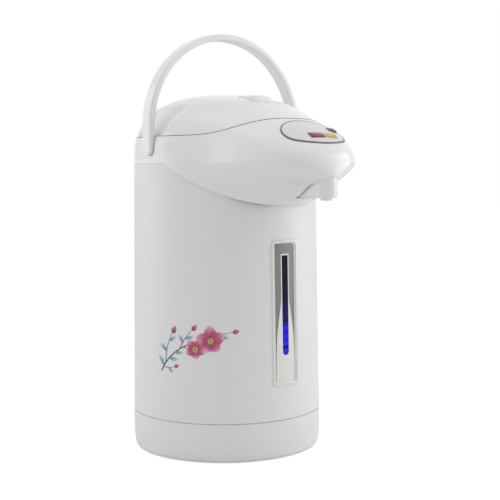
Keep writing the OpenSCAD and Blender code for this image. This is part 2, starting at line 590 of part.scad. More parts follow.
// ---- vessel and heat ----
module vessel() color("#c4c6c8") union() {
    difference() {
        rotate_extrude() polygon([[0, vessel_z], [vessel_r - 6, vessel_z], [vessel_r - 1.8, vessel_z + 1.8],
            [vessel_r, vessel_z + 6], [vessel_r, 266], [vessel_r - 3, 274], [mouth_r + 6, 290], [mouth_r + 1, 294],
            [mouth_r + 1, 306], [mouth_r + 1 - vessel_t, 306], [mouth_r + 1 - vessel_t, 293.6],
            [mouth_r + 5.4, 289.3], [vessel_r - 3.6, 273.4], [vessel_r - vessel_t, 265.8],
            [vessel_r - vessel_t, vessel_z + 6.3], [vessel_r - 2.4, vessel_z + 2.5],
            [vessel_r - 6.3, vessel_z + vessel_t], [0, vessel_z + vessel_t]]);
        translate([0, pump_y, vessel_z - 1]) cylinder(r = 3.7, h = 4, $fn = 32);
    }
    translate([0, pump_y, vessel_z - 11]) tube(4.5, 3.7, 11.2);
}
heater_r = -pump_y - 13;        // outer radius of the heater, clear of the pump's inlet
module heater() color("#b4b4b0") translate([0, 0, vessel_z - 6]) tube(heater_r, 15, 5.9);
module heater_clamp() color("#9a9a96") difference() {
    translate([0, 0, vessel_z - 8.3]) cylinder(r = heater_r + 2, h = 2);
    cylinder(r = 13.4, h = 100);
}
module thermostat() color("#e8e0c8") translate([0, 0, vessel_z - 10]) union() {
    cylinder(r = 12, h = 9.8);
    for (x = [-8, 8]) translate([x - 0.4, -3, -6]) cube([0.8, 6, 7]);
}
module thermal_fuse() color("#d8d0b0") translate([24, 20, vessel_z - 11.2]) along_y() cylinder(r = 2.6, h = 14, $fn = 24);
module warm_band() color("#a08858") translate([0, 0, 92]) tube(vessel_r + 1.4, vessel_r + 0.1, 30);
module insulation() color("#ececea") rotate_extrude() polygon([[vessel_r + 1.6, 80], [vessel_r + 3.4, 80],
    [vessel_r + 3.4, 264], [vessel_r + 1.6, 264]]);
tray_z = 57.6;
module vessel_tray() color("#cfcfc9") difference() {
    union() {
        translate([0, 0, tray_z]) tube(body_r - 1.6, 47, 2.4);
        translate([0, 0, tray_z + 1]) tube(70, 66, vessel_z - tray_z - 1.1);
        translate([0, 0, tray_z + 1]) tube(vessel_r + 3.4, vessel_r + 1, 21);
        ring_of(3, leg_r, 90) translate([0, 0, cover_z + cover_t + 0.05]) cylinder(r = 4, h = tray_z - cover_z - cover_t);
    }
    translate([0, pump_y, 50]) cylinder(r = 8.6, h = 30);
    translate([0, tube_y, 50]) cylinder(r = hose_r + 0.4, h = 40);
    ring_of(3, leg_r, 90) cylinder(r = 1.75, h = 20, $fn = 24);
}

// ---- pump ----
module pump_housing() color("#3a3a3a") translate([0, pump_y, 0]) difference() {
    union() {
        translate([0, 0, 30]) cylinder(r = 18, h = 14);
        translate([0, -15, 38]) rotate([90, 0, 0]) cylinder(r = 4, h = 11);
    }
    translate([0, 0, 32]) cylinder(r = 15.4, h = 20);
    translate([0, -13, 38]) rotate([90, 0, 0]) cylinder(r = 2.8, h = 20);
    translate([0, 0, 20]) cylinder(r = 2.1, h = 20);
}
module pump_cover() color("#4a4a4a") translate([0, pump_y, 44]) difference() {
    union() {
        cylinder(r = 18, h = 2.6);
        cylinder(r = 4.5, h = 10);
    }
    translate([0, 0, -1]) cylinder(r = 3.4, h = 20);
}
module impeller() color("#e0e0e0") translate([0, pump_y, 0]) union() {
    translate([0, 0, 32.6]) cylinder(r = 14.4, h = 2);
    translate([0, 0, 33]) cylinder(r = 4, h = 8);
    ring_of(6, 0) translate([3.4, -0.7, 34]) cube([10.4, 1.4, 6.4]);
}
module motor_shaft() color("#b8b8b8") translate([0, pump_y, 9]) cylinder(r = 2, h = 23.6);
module pump_motor() color("#8c8c90") translate([0, pump_y, 8.2]) difference() {
    union() {
        cylinder(r = 15, h = 21.7);
        translate([-18, -6, 18.9]) cube([36, 12, 2.8]);
    }
    translate([0, 0, 0.6]) cylinder(r = 2.05, h = 30);
}
module inlet_hose() color("#e8e8e8") translate([0, pump_y, 47]) tube(6.5, 4.55, 21.4);
module riser_hose() color("#e8e8e8") {
    translate([0, pump_y - 19, 38]) rotate([90, 0, 0]) tube(hose_r, tube_r + fit, -19 + pump_y - tube_y - hose_bend);
    translate([0, tube_y + hose_bend, 38 + hose_bend]) mirror([0, 1, 0]) mirror([0, 0, 1]) quarter(hose_bend, hose_r, tube_r);
    translate([0, tube_y, 38 + hose_bend]) tube(hose_r, tube_r + fit, 18);
}

// ---- electrics ----
module control_board() color("#3f7a4a") translate([0, leg_r - 60, 0]) union() {
    translate([-42, 0, 16]) cube([84, 52, 1.6]);
    translate([-36, 8, 17.6]) cube([26, 30, 22]);
    translate([6, 30, 17.6]) cube([16, 12, 14]);
    translate([28, 30, 17.6]) cube([10, 16, 10]);
    translate([14, 10, 17.6]) cylinder(r = 6, h = 16);
    for (x = [-38, 38], y = [4, 48]) translate([x, y, cover_z + cover_t + 0.05]) cylinder(r = 2.6, h = 12, $fn = 24);
}
module motor_bracket() color("#cfcfc9") difference() {
    union() {
        translate([-24, pump_y - 10, cover_z + cover_t + 0.05]) cube([48, 20, 2.8]);
        for (x = [-24, 18.4]) translate([x, pump_y - 6, 7]) cube([5.6, 12, 22.8]);
    }
    for (x = [-21, 21]) translate([x, pump_y, 0]) cylinder(r = 1.4, h = 40, $fn = 24);
}

base_ring();
bottom_cover();
foot_ring();
base_screws();
power_inlet();
inlet_pins();
body_shell();
gauge_frame();
gauge_lens();
gauge_mask();
gauge_backing();
sight_tube();
level_float();
collar();
rear_hood();
handle_pins();
mouth_ring();
housing_screws();
spout_cover();
nozzle();
spout_hose();
lid_cover();
inner_lid();
lid_gasket();
steam_cap();
lid_screws();
lid_hinge_leaf();
hood_hinge_leaf();
hinge_pin();
latch_lever();
latch_pin();
latch_tray();
latch_bolt();
latch_spring();
handle();
panel_plate();
button_reboil();
button_pour();
button_lock();
button_board();
vessel();
heater();
heater_clamp();
thermostat();
thermal_fuse();
warm_band();
insulation();
vessel_tray();
pump_housing();
pump_cover();
impeller();
motor_shaft();
pump_motor();
inlet_hose();
riser_hose();
control_board();
motor_bracket();
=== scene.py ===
"""Looks of the electric thermo pot: housings, gauge, print, panel, finishes, floor, lamps and camera.

All sizes are millimetres until make_object() turns them to metres. +Z is up, the nose points along -Y.
"""

import logging
import math
from dataclasses import dataclass, field
from enum import Enum
from typing import Any, Callable, ClassVar, Dict, List, Optional, Sequence, Tuple

import bmesh
import bpy
import numpy as np
from mathutils import Matrix, Vector

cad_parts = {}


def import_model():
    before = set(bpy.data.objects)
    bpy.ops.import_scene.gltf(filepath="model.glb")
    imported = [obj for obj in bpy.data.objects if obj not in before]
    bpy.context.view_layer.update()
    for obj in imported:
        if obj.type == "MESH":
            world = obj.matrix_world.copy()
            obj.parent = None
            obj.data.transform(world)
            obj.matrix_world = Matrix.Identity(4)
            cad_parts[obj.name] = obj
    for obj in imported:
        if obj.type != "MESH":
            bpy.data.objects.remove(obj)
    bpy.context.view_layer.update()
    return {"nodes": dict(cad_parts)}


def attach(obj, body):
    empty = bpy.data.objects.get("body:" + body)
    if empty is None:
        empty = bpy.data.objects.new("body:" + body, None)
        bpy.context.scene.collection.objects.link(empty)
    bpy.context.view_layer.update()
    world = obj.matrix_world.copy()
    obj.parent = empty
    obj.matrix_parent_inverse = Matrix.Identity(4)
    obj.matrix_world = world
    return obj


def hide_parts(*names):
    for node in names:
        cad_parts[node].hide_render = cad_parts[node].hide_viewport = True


LOG = logging.getLogger("thermo_pot")
MM = 0.001
DRAWN_OUT = 0.03  # scale of a brushed pattern along the brush, against across it
EDGE_LENGTH = 0.5  # length of the rounded edge of a moulded skin
EDGE_INSET = 0.3  # distance by which that edge is drawn in
POLE_R = 0.02  # radius that stands for none at the top of a dome, so that its faces keep an area
FRONT_CUT = (-120.0, -60.0)  # Y of cutters that pass through the front wall of the casing alone
Points = np.ndarray
Faces = List[Sequence[int]]
Pair = Tuple[float, float]
Triple = Tuple[float, float, float]
Solid = Tuple[Points, Faces]


# ---------------------------------------------------------------- finishes


def linear(code: str) -> Tuple[float, float, float, float]:
    """Turns an sRGB hex value to linear light.

    Args:
        code: Colour such as "#e9e9e4".

    Returns:
        Linear red, green, blue and an alpha of 1.
    """
    parts = [int(code[i : i + 2], 16) / 255 for i in (1, 3, 5)]
    light = [c / 12.92 if c <= 0.04045 else ((c + 0.055) / 1.055) ** 2.4 for c in parts]
    return (light[0], light[1], light[2], 1.0)


def add_node(
    tree: bpy.types.NodeTree,
    kind: str,
    settings: Optional[Dict[Any, Any]] = None,
    links: Optional[Dict[Any, Any]] = None,
) -> bpy.types.Node:
    """Adds one node with its settings and links.

    Args:
        tree: Node tree that takes the node.
        kind: Blender's name of the node.
        settings: Property or input names with their values.
        links: Input names with the sockets that feed them.

    Returns:
        The new node.
    """
    node = tree.nodes.new(kind)
    for key, value in (settings or {}).items():
        if isinstance(key, str) and hasattr(node, key):
            setattr(node, key, value)
        else:
            node.inputs[key].default_value = value
    for key, source in (links or {}).items():
        tree.links.new(source, node.inputs[key])
    return node


class Pattern(Enum):
    """How a surface was made, as the texture that shows it."""

    MOULDED = "moulded"
    BRUSHED_ROUND = "brushed round the axis"
    BRUSHED_UP = "brushed along the axis"
    FLAKED = "flaked paint"
    FIBROUS = "felted fibres"
    ETCHED = "etched tracks"


@dataclass(frozen=True)
class Finish:
    """One finish: a common material, the way its surface was made and what that gives the eye."""

    name: str
    colour: str
    shade: str
    pattern: Pattern = Pattern.MOULDED
    pattern_mm: float = 30.0
    roughness: float = 0.3
    metallic: float = 0.0
    ior: float = 1.5
    bump_mm: float = 0.0

    def texture(self, tree: bpy.types.NodeTree) -> bpy.types.NodeSocket:
        """Builds the pattern.

        Args:
            tree: Node tree of the material.

        Returns:
            The socket with the pattern's value from 0 to 1.
        """
        coords = add_node(tree, "ShaderNodeTexCoord").outputs["Object"]
        scale = 1 / (self.pattern_mm * MM)
        stretch = {
            Pattern.BRUSHED_ROUND: (DRAWN_OUT, DRAWN_OUT, 1.0),
            Pattern.BRUSHED_UP: (1.0, 1.0, DRAWN_OUT),
        }.get(self.pattern)
        if stretch:
            mapping = add_node(tree, "ShaderNodeMapping", {"Scale": stretch}, {"Vector": coords})
            coords = mapping.outputs["Vector"]
        if self.pattern in (Pattern.FLAKED, Pattern.ETCHED):
            feature = "F1" if self.pattern is Pattern.FLAKED else "DISTANCE_TO_EDGE"
            settings = {"feature": feature, "Scale": scale}
            return add_node(tree, "ShaderNodeTexVoronoi", settings, {"Vector": coords}).outputs["Distance"]
        settings = {"Scale": scale, "Detail": 6.0 if self.pattern is Pattern.FIBROUS else 2.0}
        return add_node(tree, "ShaderNodeTexNoise", settings, {"Vector": coords}).outputs["Fac"]

    def colour_socket(self, tree: bpy.types.NodeTree, value: bpy.types.NodeSocket) -> bpy.types.NodeSocket:
        """Mixes the two colours by the pattern.

        Args:
            tree: Node tree of the material.
            value: Pattern value.

        Returns:
            The colour socket.
        """
        mix = add_node(tree, "ShaderNodeMix", {"data_type": "RGBA"})
        mix.inputs[6].default_value = linear(self.colour)
        mix.inputs[7].default_value = linear(self.shade)
        tree.links.new(value, mix.inputs[0])
        return mix.outputs[2]

    def build(self) -> bpy.types.Material:
        """Builds the material once and gives the same one from then on.

        Returns:
            The material.
        """
        found = bpy.data.materials.get(self.name)
        if found:
            return found
        mat = bpy.data.materials.new(self.name)
        mat.use_nodes = True
        tree = mat.node_tree
        tree.nodes.clear()
        value = self.texture(tree)
        links = {"Base Color": self.colour_socket(tree, value)}
        if self.bump_mm:
            depth = {"Strength": 1.0, "Distance": self.bump_mm * MM}
            links["Normal"] = add_node(tree, "ShaderNodeBump", depth, {"Height": value}).outputs["Normal"]
        settings = {"Roughness": self.roughness, "Metallic": self.metallic, "IOR": self.ior}
        shader = add_node(tree, "ShaderNodeBsdfPrincipled", settings, links)
        self.extra(tree, shader)
        add_node(tree, "ShaderNodeOutputMaterial", {}, {"Surface": shader.outputs["BSDF"]})
        return mat

    def extra(self, tree: bpy.types.NodeTree, shader: bpy.types.Node) -> None:
        """Room for what only some finishes add."""


@dataclass(frozen=True)
class PrintInk(Finish):
    """Screen-printed ink that runs from one colour at the root of a shape to another at its tip."""

    tip: str = "#ffffff"
    wash: Pair = (0.45, -0.22)

    def colour_socket(self, tree: bpy.types.NodeTree, value: bpy.types.NodeSocket) -> bpy.types.NodeSocket:
        """Runs root, middle and tip colours along the shape, with a wash of the pattern.

        Args:
            tree: Node tree of the material.
            value: Pattern value.

        Returns:
            The colour socket.
        """
        uv = add_node(tree, "ShaderNodeTexCoord").outputs["UV"]
        along = add_node(tree, "ShaderNodeSeparateXYZ", {}, {"Vector": uv}).outputs["X"]
        spread = {"operation": "MULTIPLY_ADD", 1: self.wash[0], 2: self.wash[1]}
        wash = add_node(tree, "ShaderNodeMath", spread, {0: value}).outputs[0]
        clamped = {"operation": "ADD", "use_clamp": True}
        total = add_node(tree, "ShaderNodeMath", clamped, {0: along, 1: wash}).outputs[0]
        ramp = add_node(tree, "ShaderNodeValToRGB", {}, {"Fac": total})
        stops = ramp.color_ramp.elements
        stops[0].color = linear(self.colour)
        stops[1].color = linear(self.tip)
        stops.new(0.5).color = linear(self.shade)
        return ramp.outputs["Color"]


@dataclass(frozen=True)
class PaintedGlowTube(Finish):
    """Clear tube with a painted blue glow for the lamp below it: bright at the foot and nearly dark at the
    top.
    """

    low_mm: float = 104.0
    high_mm: float = 204.0
    # Painted glow colours from the foot to the top: the lamp's light, fading upwards.
    foot: str = "#2c26ee"
    top: str = "#03020c"
    between: Tuple[Tuple[float, str], ...] = ((0.3, "#1f1ad2"), (0.36, "#120f70"), (0.6, "#080630"))
    # Bands of brighter and darker painted glow up the tube.
    ripple_mm: float = 7.48
    ripple: Pair = (0.55, 0.5)

    def extra(self, tree: bpy.types.NodeTree, shader: bpy.types.Node) -> None:
        """Feeds the painted glow by height, as the lamp's light fades up the tube.

        Args:
            tree: Node tree of the material.
            shader: The shader that glows.
        """
        coords = add_node(tree, "ShaderNodeTexCoord").outputs["Object"]
        height = add_node(tree, "ShaderNodeSeparateXYZ", {}, {"Vector": coords}).outputs["Z"]
        span = {1: self.low_mm * MM, 2: self.high_mm * MM}
        share = add_node(tree, "ShaderNodeMapRange", span, {0: height}).outputs[0]
        ramp = add_node(tree, "ShaderNodeValToRGB", {}, {"Fac": share})
        stops = ramp.color_ramp.elements
        stops[0].color, stops[1].color = linear(self.foot), linear(self.top)
        for place, code in self.between:
            stops.new(place).color = linear(code)
        # The wave texture runs through 20 radians a unit, so this scale gives one band in each ripple_mm.
        wave = {"bands_direction": "Z", "Scale": math.pi / (10 * self.ripple_mm * MM), "Distortion": 1.2}
        bands = add_node(tree, "ShaderNodeTexWave", wave, {"Vector": coords}).outputs["Fac"]
        spread = {"operation": "MULTIPLY_ADD", 1: self.ripple[0], 2: self.ripple[1]}
        ripple = add_node(tree, "ShaderNodeMath", spread, {0: bands}).outputs[0]
        tree.links.new(ramp.outputs["Color"], shader.inputs["Emission Color"])
        tree.links.new(ripple, shader.inputs["Emission Strength"])


# White ABS, injection moulded and polished: an even warm white with a soft gloss and no grain.
WHITE_ABS = Finish("white_moulded_abs", "#e9e9e7", "#e6e6e3", pattern_mm=60, roughness=0.22, ior=1.53)
# The same resin in the base, moulded with a finer satin: a little greyer.
BASE_ABS = Finish("base_moulded_abs", "#e4e4e1", "#e1e1de", pattern_mm=60, roughness=0.3, ior=1.53)
# The same resin in the gauge's frame, a touch cooler, with a soft line of light on its rounded edge.
FRAME_ABS = Finish("gauge_frame_abs", "#e2e3e2", "#dcdddd", pattern_mm=20, roughness=0.22, ior=1.53)
# Steel sheet with baked pearl-white enamel: cooler white and a faint sparkle.
# The flakes are drawn at 0.8 mm, coarser than real ones, so that they show.
PEARL_ENAMEL = Finish("pearl_baked_enamel", "#e5e5e5", "#e0e0e1", Pattern.FLAKED, 0.8, roughness=0.42)
# Polypropylene, moulded: matt, slightly waxy white of the inner parts.
MATT_PP = Finish("matt_moulded_polypropylene", "#d9d9d3", "#cfcfc9", pattern_mm=12, roughness=0.5, ior=1.49)
# Pale grey polycarbonate with a satin film on top, for the panel: a shade under the white round it.
PANEL_FILM = Finish("panel_satin_film", "#dcdcdb", "#d6d6d5", pattern_mm=4, roughness=0.35, ior=1.58)
# Raised bead between panel and nose, dark grey as painted shade of the groove round the panel: a thin even
# line.
PANEL_GROOVE_SHADE = Finish("panel_painted_groove_shade", "#747476", "#5c5c60", pattern_mm=8, roughness=0.5)
# Dyed acrylic keys, moulded: saturated colour with a clear gloss.
KEY_MAROON = Finish("key_maroon_acrylic", "#963c5a", "#88304e", pattern_mm=3, roughness=0.2, ior=1.49)
KEY_OLIVE = Finish("key_olive_acrylic", "#cdc268", "#bfb35c", pattern_mm=3, roughness=0.2, ior=1.49)
KEY_WINE = Finish("key_wine_acrylic", "#6a2440", "#5a1c34", pattern_mm=3, roughness=0.2, ior=1.49)
# Printing on the gauge's lens: flat grey, warm white and dark ticks, the ticks quite dull.
GREY_PRINT = Finish("gauge_grey_print", "#84857e", "#7f807b", pattern_mm=6, roughness=0.34)
WHITE_PRINT = Finish("gauge_white_print", "#e6e6e0", "#dfdfd8", pattern_mm=10, roughness=0.34)
TICK_PRINT = Finish("gauge_tick_print", "#03030a", "#060612", pattern_mm=3, roughness=0.6, ior=1.25)
# Polycarbonate tube and window in front of the water column: nearly black, painted shade of the unlit inside,
# and blue from a painted glow.
# The index of refraction is below a typical one, so that white surroundings don't veil the dark part.
SIGHT_TUBE = PaintedGlowTube("sight_tube_painted_glow", "#040312", "#03030e", pattern_mm=4, roughness=0.45, ior=1.2)
# Natural rubber, moulded: black and dull.
RUBBER = Finish("black_moulded_rubber", "#2c2c2c", "#222222", pattern_mm=1.5, roughness=0.75, bump_mm=0.02)
# Glass-filled polyester, moulded: black with a grey bloom.
BLACK_PBT = Finish("black_moulded_pbt", "#2a2a2b", "#202022", pattern_mm=2, roughness=0.45)
# Silicone, extruded or moulded: milky and soft.
SILICONE = Finish("translucent_silicone", "#eceef0", "#dfe3e6", pattern_mm=6, roughness=0.4, ior=1.41)
# Screws and pins, zinc plated and turned: bright, with fine turning marks.
# These and the next metals' marks are drawn at 0.4 mm or more, coarser than real ones, so that they show.
ZINC_STEEL = Finish(
    "zinc_plated_steel", "#c4c4c6", "#a2a2a6", Pattern.BRUSHED_ROUND, 0.4, roughness=0.32, metallic=1.0
)
# Brass contact pins, turned: warm yellow with marks along the pin.
BRASS = Finish("turned_brass", "#d2b062", "#b9954a", Pattern.BRUSHED_UP, 0.4, roughness=0.3, metallic=1.0)
# Stainless vessel, deep drawn and brushed round the axis: long horizontal lines in the gloss.
STAINLESS = Finish(
    "brushed_stainless", "#c9cbcd", "#a9acaf", Pattern.BRUSHED_ROUND, 0.8,
    roughness=0.28, metallic=1.0, bump_mm=0.01,
)
# Aluminium heater and clamp, cast: dull grey with a fine sandy skin.
ALUMINIUM = Finish(
    "cast_aluminium", "#b7b8b8", "#9d9e9e", pattern_mm=1.2, roughness=0.5, metallic=1.0, bump_mm=0.05
)
# Galvanised sheet, pressed: grey with the zinc's large spangles.
GALVANISED = Finish(
    "galvanised_sheet", "#bfc3c6", "#9ea4a8", Pattern.FLAKED, 6.0, roughness=0.42, metallic=1.0
)
# Motor can, drawn steel: fine lines along the axis.
MOTOR_CAN = Finish(
    "drawn_motor_steel", "#a4a5a8", "#84858a", Pattern.BRUSHED_UP, 0.6, roughness=0.35, metallic=1.0
)
# Thermostat and fuse bodies, glazed ceramic: cream with a wet gloss.
CERAMIC = Finish("glazed_ceramic", "#ece5cf", "#dfd5b8", pattern_mm=3, roughness=0.3, ior=1.6)
# Band heater, woven glass over mica: tan with rows of thread.
MICA = Finish(
    "woven_mica_band", "#a8905e", "#7c6638", Pattern.BRUSHED_ROUND, 1.6, roughness=0.7, bump_mm=0.1
)
# Insulation, needled glass felt: white, rough and without gloss.
FELT = Finish("needled_felt", "#ebebe8", "#cfcfca", Pattern.FIBROUS, 2.0, roughness=0.95, bump_mm=0.3)
# Circuit boards, glass epoxy with etched tracks: green with lighter lines.
LAMINATE = Finish(
    "glass_epoxy_laminate", "#2f6a3c", "#3f8450", Pattern.ETCHED, 4.0, roughness=0.4, bump_mm=0.05
)
# Level float, dyed polypropylene, moulded: a strong even blue.
FLOAT_BLUE = Finish("blue_moulded_float", "#2a2af0", "#2020c8", pattern_mm=2, roughness=0.3)
# Screen-printed inks of the flower spray, fired into the enamel: soft washes with darker roots.
PETAL_INK = PrintInk("ink_petal", "#a32c52", "#c05a7c", pattern_mm=5, roughness=0.3, tip="#ddb4c4")
BUD_INK = PrintInk("ink_bud", "#8c2c4c", "#b65a80", pattern_mm=4, roughness=0.3, tip="#cf98b2")
LEAF_INK = PrintInk("ink_leaf", "#6f8ea6", "#8faabf", pattern_mm=5, roughness=0.3, tip="#c3d0da")
STEM_INK = PrintInk("ink_stem", "#2c2a28", "#34302c", pattern_mm=4, roughness=0.3, tip="#4a4440")
EYE_INK = PrintInk("ink_flower_eye", "#8c8a2c", "#b8b44a", pattern_mm=2, roughness=0.3, tip="#e2dc8a")


# ---------------------------------------------------------------- mesh tools


def make_object(
    name: str,
    points: Points,
    faces: Faces,
    finish: Finish,
    crease: float = 32.0,
    closed: bool = True,
    uvs: Optional[Points] = None,
) -> bpy.types.Object:
    """Makes a mesh object from points in millimetres.

    Args:
        name: Piece name.
        points: Array of x, y, z rows.
        faces: Point numbers of each face.
        finish: Finish that the piece takes.
        crease: Edges sharper than this angle in degrees stay sharp.
        closed: Whether the mesh is a closed skin whose faces are turned outwards.
        uvs: One u, v row for each point.

    Returns:
        The new object.
    """
    mesh = bpy.data.meshes.new(name)
    mesh.from_pydata((np.asarray(points, float) * MM).tolist(), [], [list(f) for f in faces])
    mesh.validate()
    if uvs is not None:
        layer = mesh.uv_layers.new(name="UVMap")
        index = np.empty(len(mesh.loops), int)
        mesh.loops.foreach_get("vertex_index", index)
        layer.data.foreach_set("uv", np.asarray(uvs, np.float32)[index].ravel())
    obj = bpy.data.objects.new(name, mesh)
    bpy.context.scene.collection.objects.link(obj)
    if closed:
        turn_outwards(mesh)
    smooth(mesh, crease)
    mesh.materials.append(finish.build())
    return obj


def turn_outwards(mesh: bpy.types.Mesh) -> None:
    """Makes the faces of a closed mesh look outwards, after joining doubled points.

    Args:
        mesh: The mesh, which is changed in place.
    """
    work = bmesh.new()
    work.from_mesh(mesh)
    bmesh.ops.remove_doubles(work, verts=work.verts, dist=1e-6)
    bmesh.ops.recalc_face_normals(work, faces=work.faces)
    work.to_mesh(mesh)
    work.free()


def smooth(mesh: bpy.types.Mesh, crease: float) -> None:
    """Shades a mesh smooth, apart from its sharp edges.

    Args:
        mesh: The mesh, which is changed in place.
        crease: Edges sharper than this angle in degrees stay sharp.
    """
    mesh.polygons.foreach_set("use_smooth", np.ones(len(mesh.polygons), bool))
    mesh.set_sharp_from_angle(angle=math.radians(crease))
    mesh.update()


def carve(obj: bpy.types.Object, cutters: Sequence[bpy.types.Object], crease: float = 32.0) -> None:
    """Takes cutters out of a piece and deletes them.

    Args:
        obj: Piece to carve.
        cutters: Closed meshes.
        crease: Sharp edge angle in degrees.
    """
    for tool in cutters:
        step = obj.modifiers.new("carve", "BOOLEAN")
        step.operation, step.solver, step.object = "DIFFERENCE", "EXACT", tool
        graph = bpy.context.evaluated_depsgraph_get()
        mesh = bpy.data.meshes.new_from_object(obj.evaluated_get(graph))
        obj.modifiers.clear()
        old, obj.data = obj.data, mesh
        bpy.data.meshes.remove(old)
        bpy.data.meshes.remove(tool.data)
    smooth(obj.data, crease)
    material = obj.data.materials[0]
    obj.data.materials.clear()
    obj.data.materials.append(material)
    obj.data.polygons.foreach_set("material_index", np.zeros(len(obj.data.polygons), np.int32))


def settle(obj: bpy.types.Object, body: str, slot: str, nodes: Sequence[str] = ()) -> None:
    """Puts a piece on its body, hides the CAD nodes that it stands for, and reports it.

    Args:
        obj: The piece.
        body: Body that carries it.
        slot: Material slot of the record; not used.
        nodes: CAD nodes that it replaces.
    """
    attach(obj, body)
    if nodes:
        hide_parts(*nodes)
    LOG.info("%s: %d faces on %s", obj.name, len(obj.data.polygons), body)


def grid_faces(rows: int, columns: int, wrap_rows: bool, wrap_columns: bool, start: int = 0) -> Faces:
    """Quads of a grid whose points run along the columns first.

    Args:
        rows: Number of rows.
        columns: Points in a row.
        wrap_rows: Whether the last row joins the first.
        wrap_columns: Whether each row is a ring.
        start: Number of the first point.

    Returns:
        The faces.
    """
    out: Faces = []
    for i in range(rows if wrap_rows else rows - 1):
        for j in range(columns if wrap_columns else columns - 1):
            a, b = i * columns, ((i + 1) % rows) * columns
            k = (j + 1) % columns
            out.append((start + a + j, start + b + j, start + b + k, start + a + k))
    return out


def ring_skin(rings: Points, caps: bool) -> Solid:
    """Skins a row of rings.

    Args:
        rings: Array of shape rings, points, 3.
        caps: True closes both ends, False joins the last ring to the first.

    Returns:
        Points and faces.
    """
    n, m = rings.shape[:2]
    faces = grid_faces(n, m, not caps, True)
    if caps:
        faces.append(tuple(range(m)))
        faces.append(tuple(range((n - 1) * m, n * m)))
    return rings.reshape(-1, 3), faces


def join_parts(parts: Sequence[Solid]) -> Solid:
    """Joins several skins to one list of points and faces.

    Args:
        parts: Points and faces of each skin.

    Returns:
        Points and faces.
    """
    faces: Faces = []
    start = 0
    for points, own in parts:
        faces += [tuple(i + start for i in face) for face in own]
        start += len(points)
    return np.concatenate([points for points, _ in parts]), faces


def revolve(profile: Sequence[Pair], segments: int = 240) -> Solid:
    """Turns a closed profile of radius and height about the axis.

    Args:
        profile: Corner points.
        segments: Steps round the axis.

    Returns:
        Points and faces.
    """
    turn = np.linspace(0, 2 * math.pi, segments, endpoint=False)
    flat = np.array(profile, float)
    x, y = np.outer(np.cos(turn), flat[:, 0]), np.outer(np.sin(turn), flat[:, 0])
    return ring_skin(np.stack([x, y, np.tile(flat[:, 1], (segments, 1))], axis=2), False)


def tube_along_x(inner: float, outer: float, half: float, segments: int) -> Solid:
    """Turns a short tube whose axis is the X axis.

    Args:
        inner: Inner radius.
        outer: Outer radius.
        half: Half of its length.
        segments: Steps round the axis.

    Returns:
        Points and faces.
    """
    points, faces = revolve([(inner, -half), (outer, -half), (outer, half), (inner, half)], segments)
    return points[:, (2, 0, 1)], faces


def arc(centre: Pair, radius: float, start: float, stop: float, count: int) -> List[Pair]:
    """Points on an arc.

    Args:
        centre: Centre of the arc.
        radius: Its radius.
        start: Angle of the first point in degrees.
        stop: Angle of the last point.
        count: Number of points.

    Returns:
        The points.
    """
    x, y = centre
    turn = np.radians(np.linspace(start, stop, count))
    return [(x + radius * math.cos(t), y + radius * math.sin(t)) for t in turn]


def fillet(outline: Sequence[Triple], steps: int = 6) -> List[Pair]:
    """Rounds the corners of a closed outline.

    Args:
        outline: Corners as first coordinate, second coordinate and radius.
        steps: Points on each rounded corner.

    Returns:
        The rounded outline.
    """
    out: List[Pair] = []
    count = len(outline)
    for i, (x, y, radius) in enumerate(outline):
        here = np.array([x, y])
        before = np.array(outline[i - 1][:2]) - here
        after = np.array(outline[(i + 1) % count][:2]) - here
        l1, l2 = np.linalg.norm(before), np.linalg.norm(after)
        if radius <= 0 or l1 < 1e-9 or l2 < 1e-9:
            out.append((x, y))
            continue
        u, v = before / l1, after / l2
        half = math.acos(float(np.clip(np.dot(u, v), -1, 1))) / 2
        reach = min(radius / math.tan(half), 0.48 * l1, 0.48 * l2)
        first, last = here + u * reach, here + v * reach
        for k in range(steps + 1):
            t = k / steps
            spot = first * (1 - t) ** 2 + here * 2 * t * (1 - t) + last * t**2
            out.append((float(spot[0]), float(spot[1])))
    return out


def rounded_box(half: float, low: float, high: float, radius: float, steps: int = 6) -> List[Pair]:
    """Outline of a rectangle with rounded corners, centred across its first coordinate.

    Args:
        half: Half of its width.
        low: Start of its second coordinate.
        high: End of its second coordinate.
        radius: Corner radius.
        steps: Points on each corner.

    Returns:
        The outline.
    """
    corners = [(-half, low, radius), (half, low, radius), (half, high, radius), (-half, high, radius)]
    return fillet(corners, steps)


def prism(outline: Sequence[Pair], axis: str, low: float, high: float) -> Solid:
    """Stretches an outline along an axis.

    Args:
        outline: Two coordinates a point: y and z for axis x, x and z for axis y, x and y for axis z.
        axis: The axis.
        low: Start along the axis.
        high: End along the axis.

    Returns:
        Points and faces.
    """
    order = {"x": (2, 0, 1), "y": (0, 2, 1), "z": (0, 1, 2)}[axis]
    rings = []
    for level in (low, high):
        flat = np.array([(a, b, level) for a, b in outline], float)
        rings.append(flat[:, order])
    return ring_skin(np.array(rings), True)


def box_points(size: Triple, centre: Triple) -> Solid:
    """A plain block.

    Args:
        size: Its three sizes.
        centre: Its centre.

    Returns:
        Points and faces.
    """
    x, y = size[0] / 2, size[1] / 2
    outline = [(-x, -y), (x, -y), (x, y), (-x, y)]
    points, faces = prism(outline, "z", -size[2] / 2, size[2] / 2)
    return points + np.array(centre), faces


def move(points: Points, matrix: Matrix) -> Points:
    """Moves points by a matrix."""
    m = np.array(matrix)
    return points @ m[:3, :3].T + m[:3, 3]


def cutter(points: Points, faces: Faces) -> bpy.types.Object:
    """Makes a closed mesh for carving."""
    return make_object("cutter", points, faces, MATT_PP)


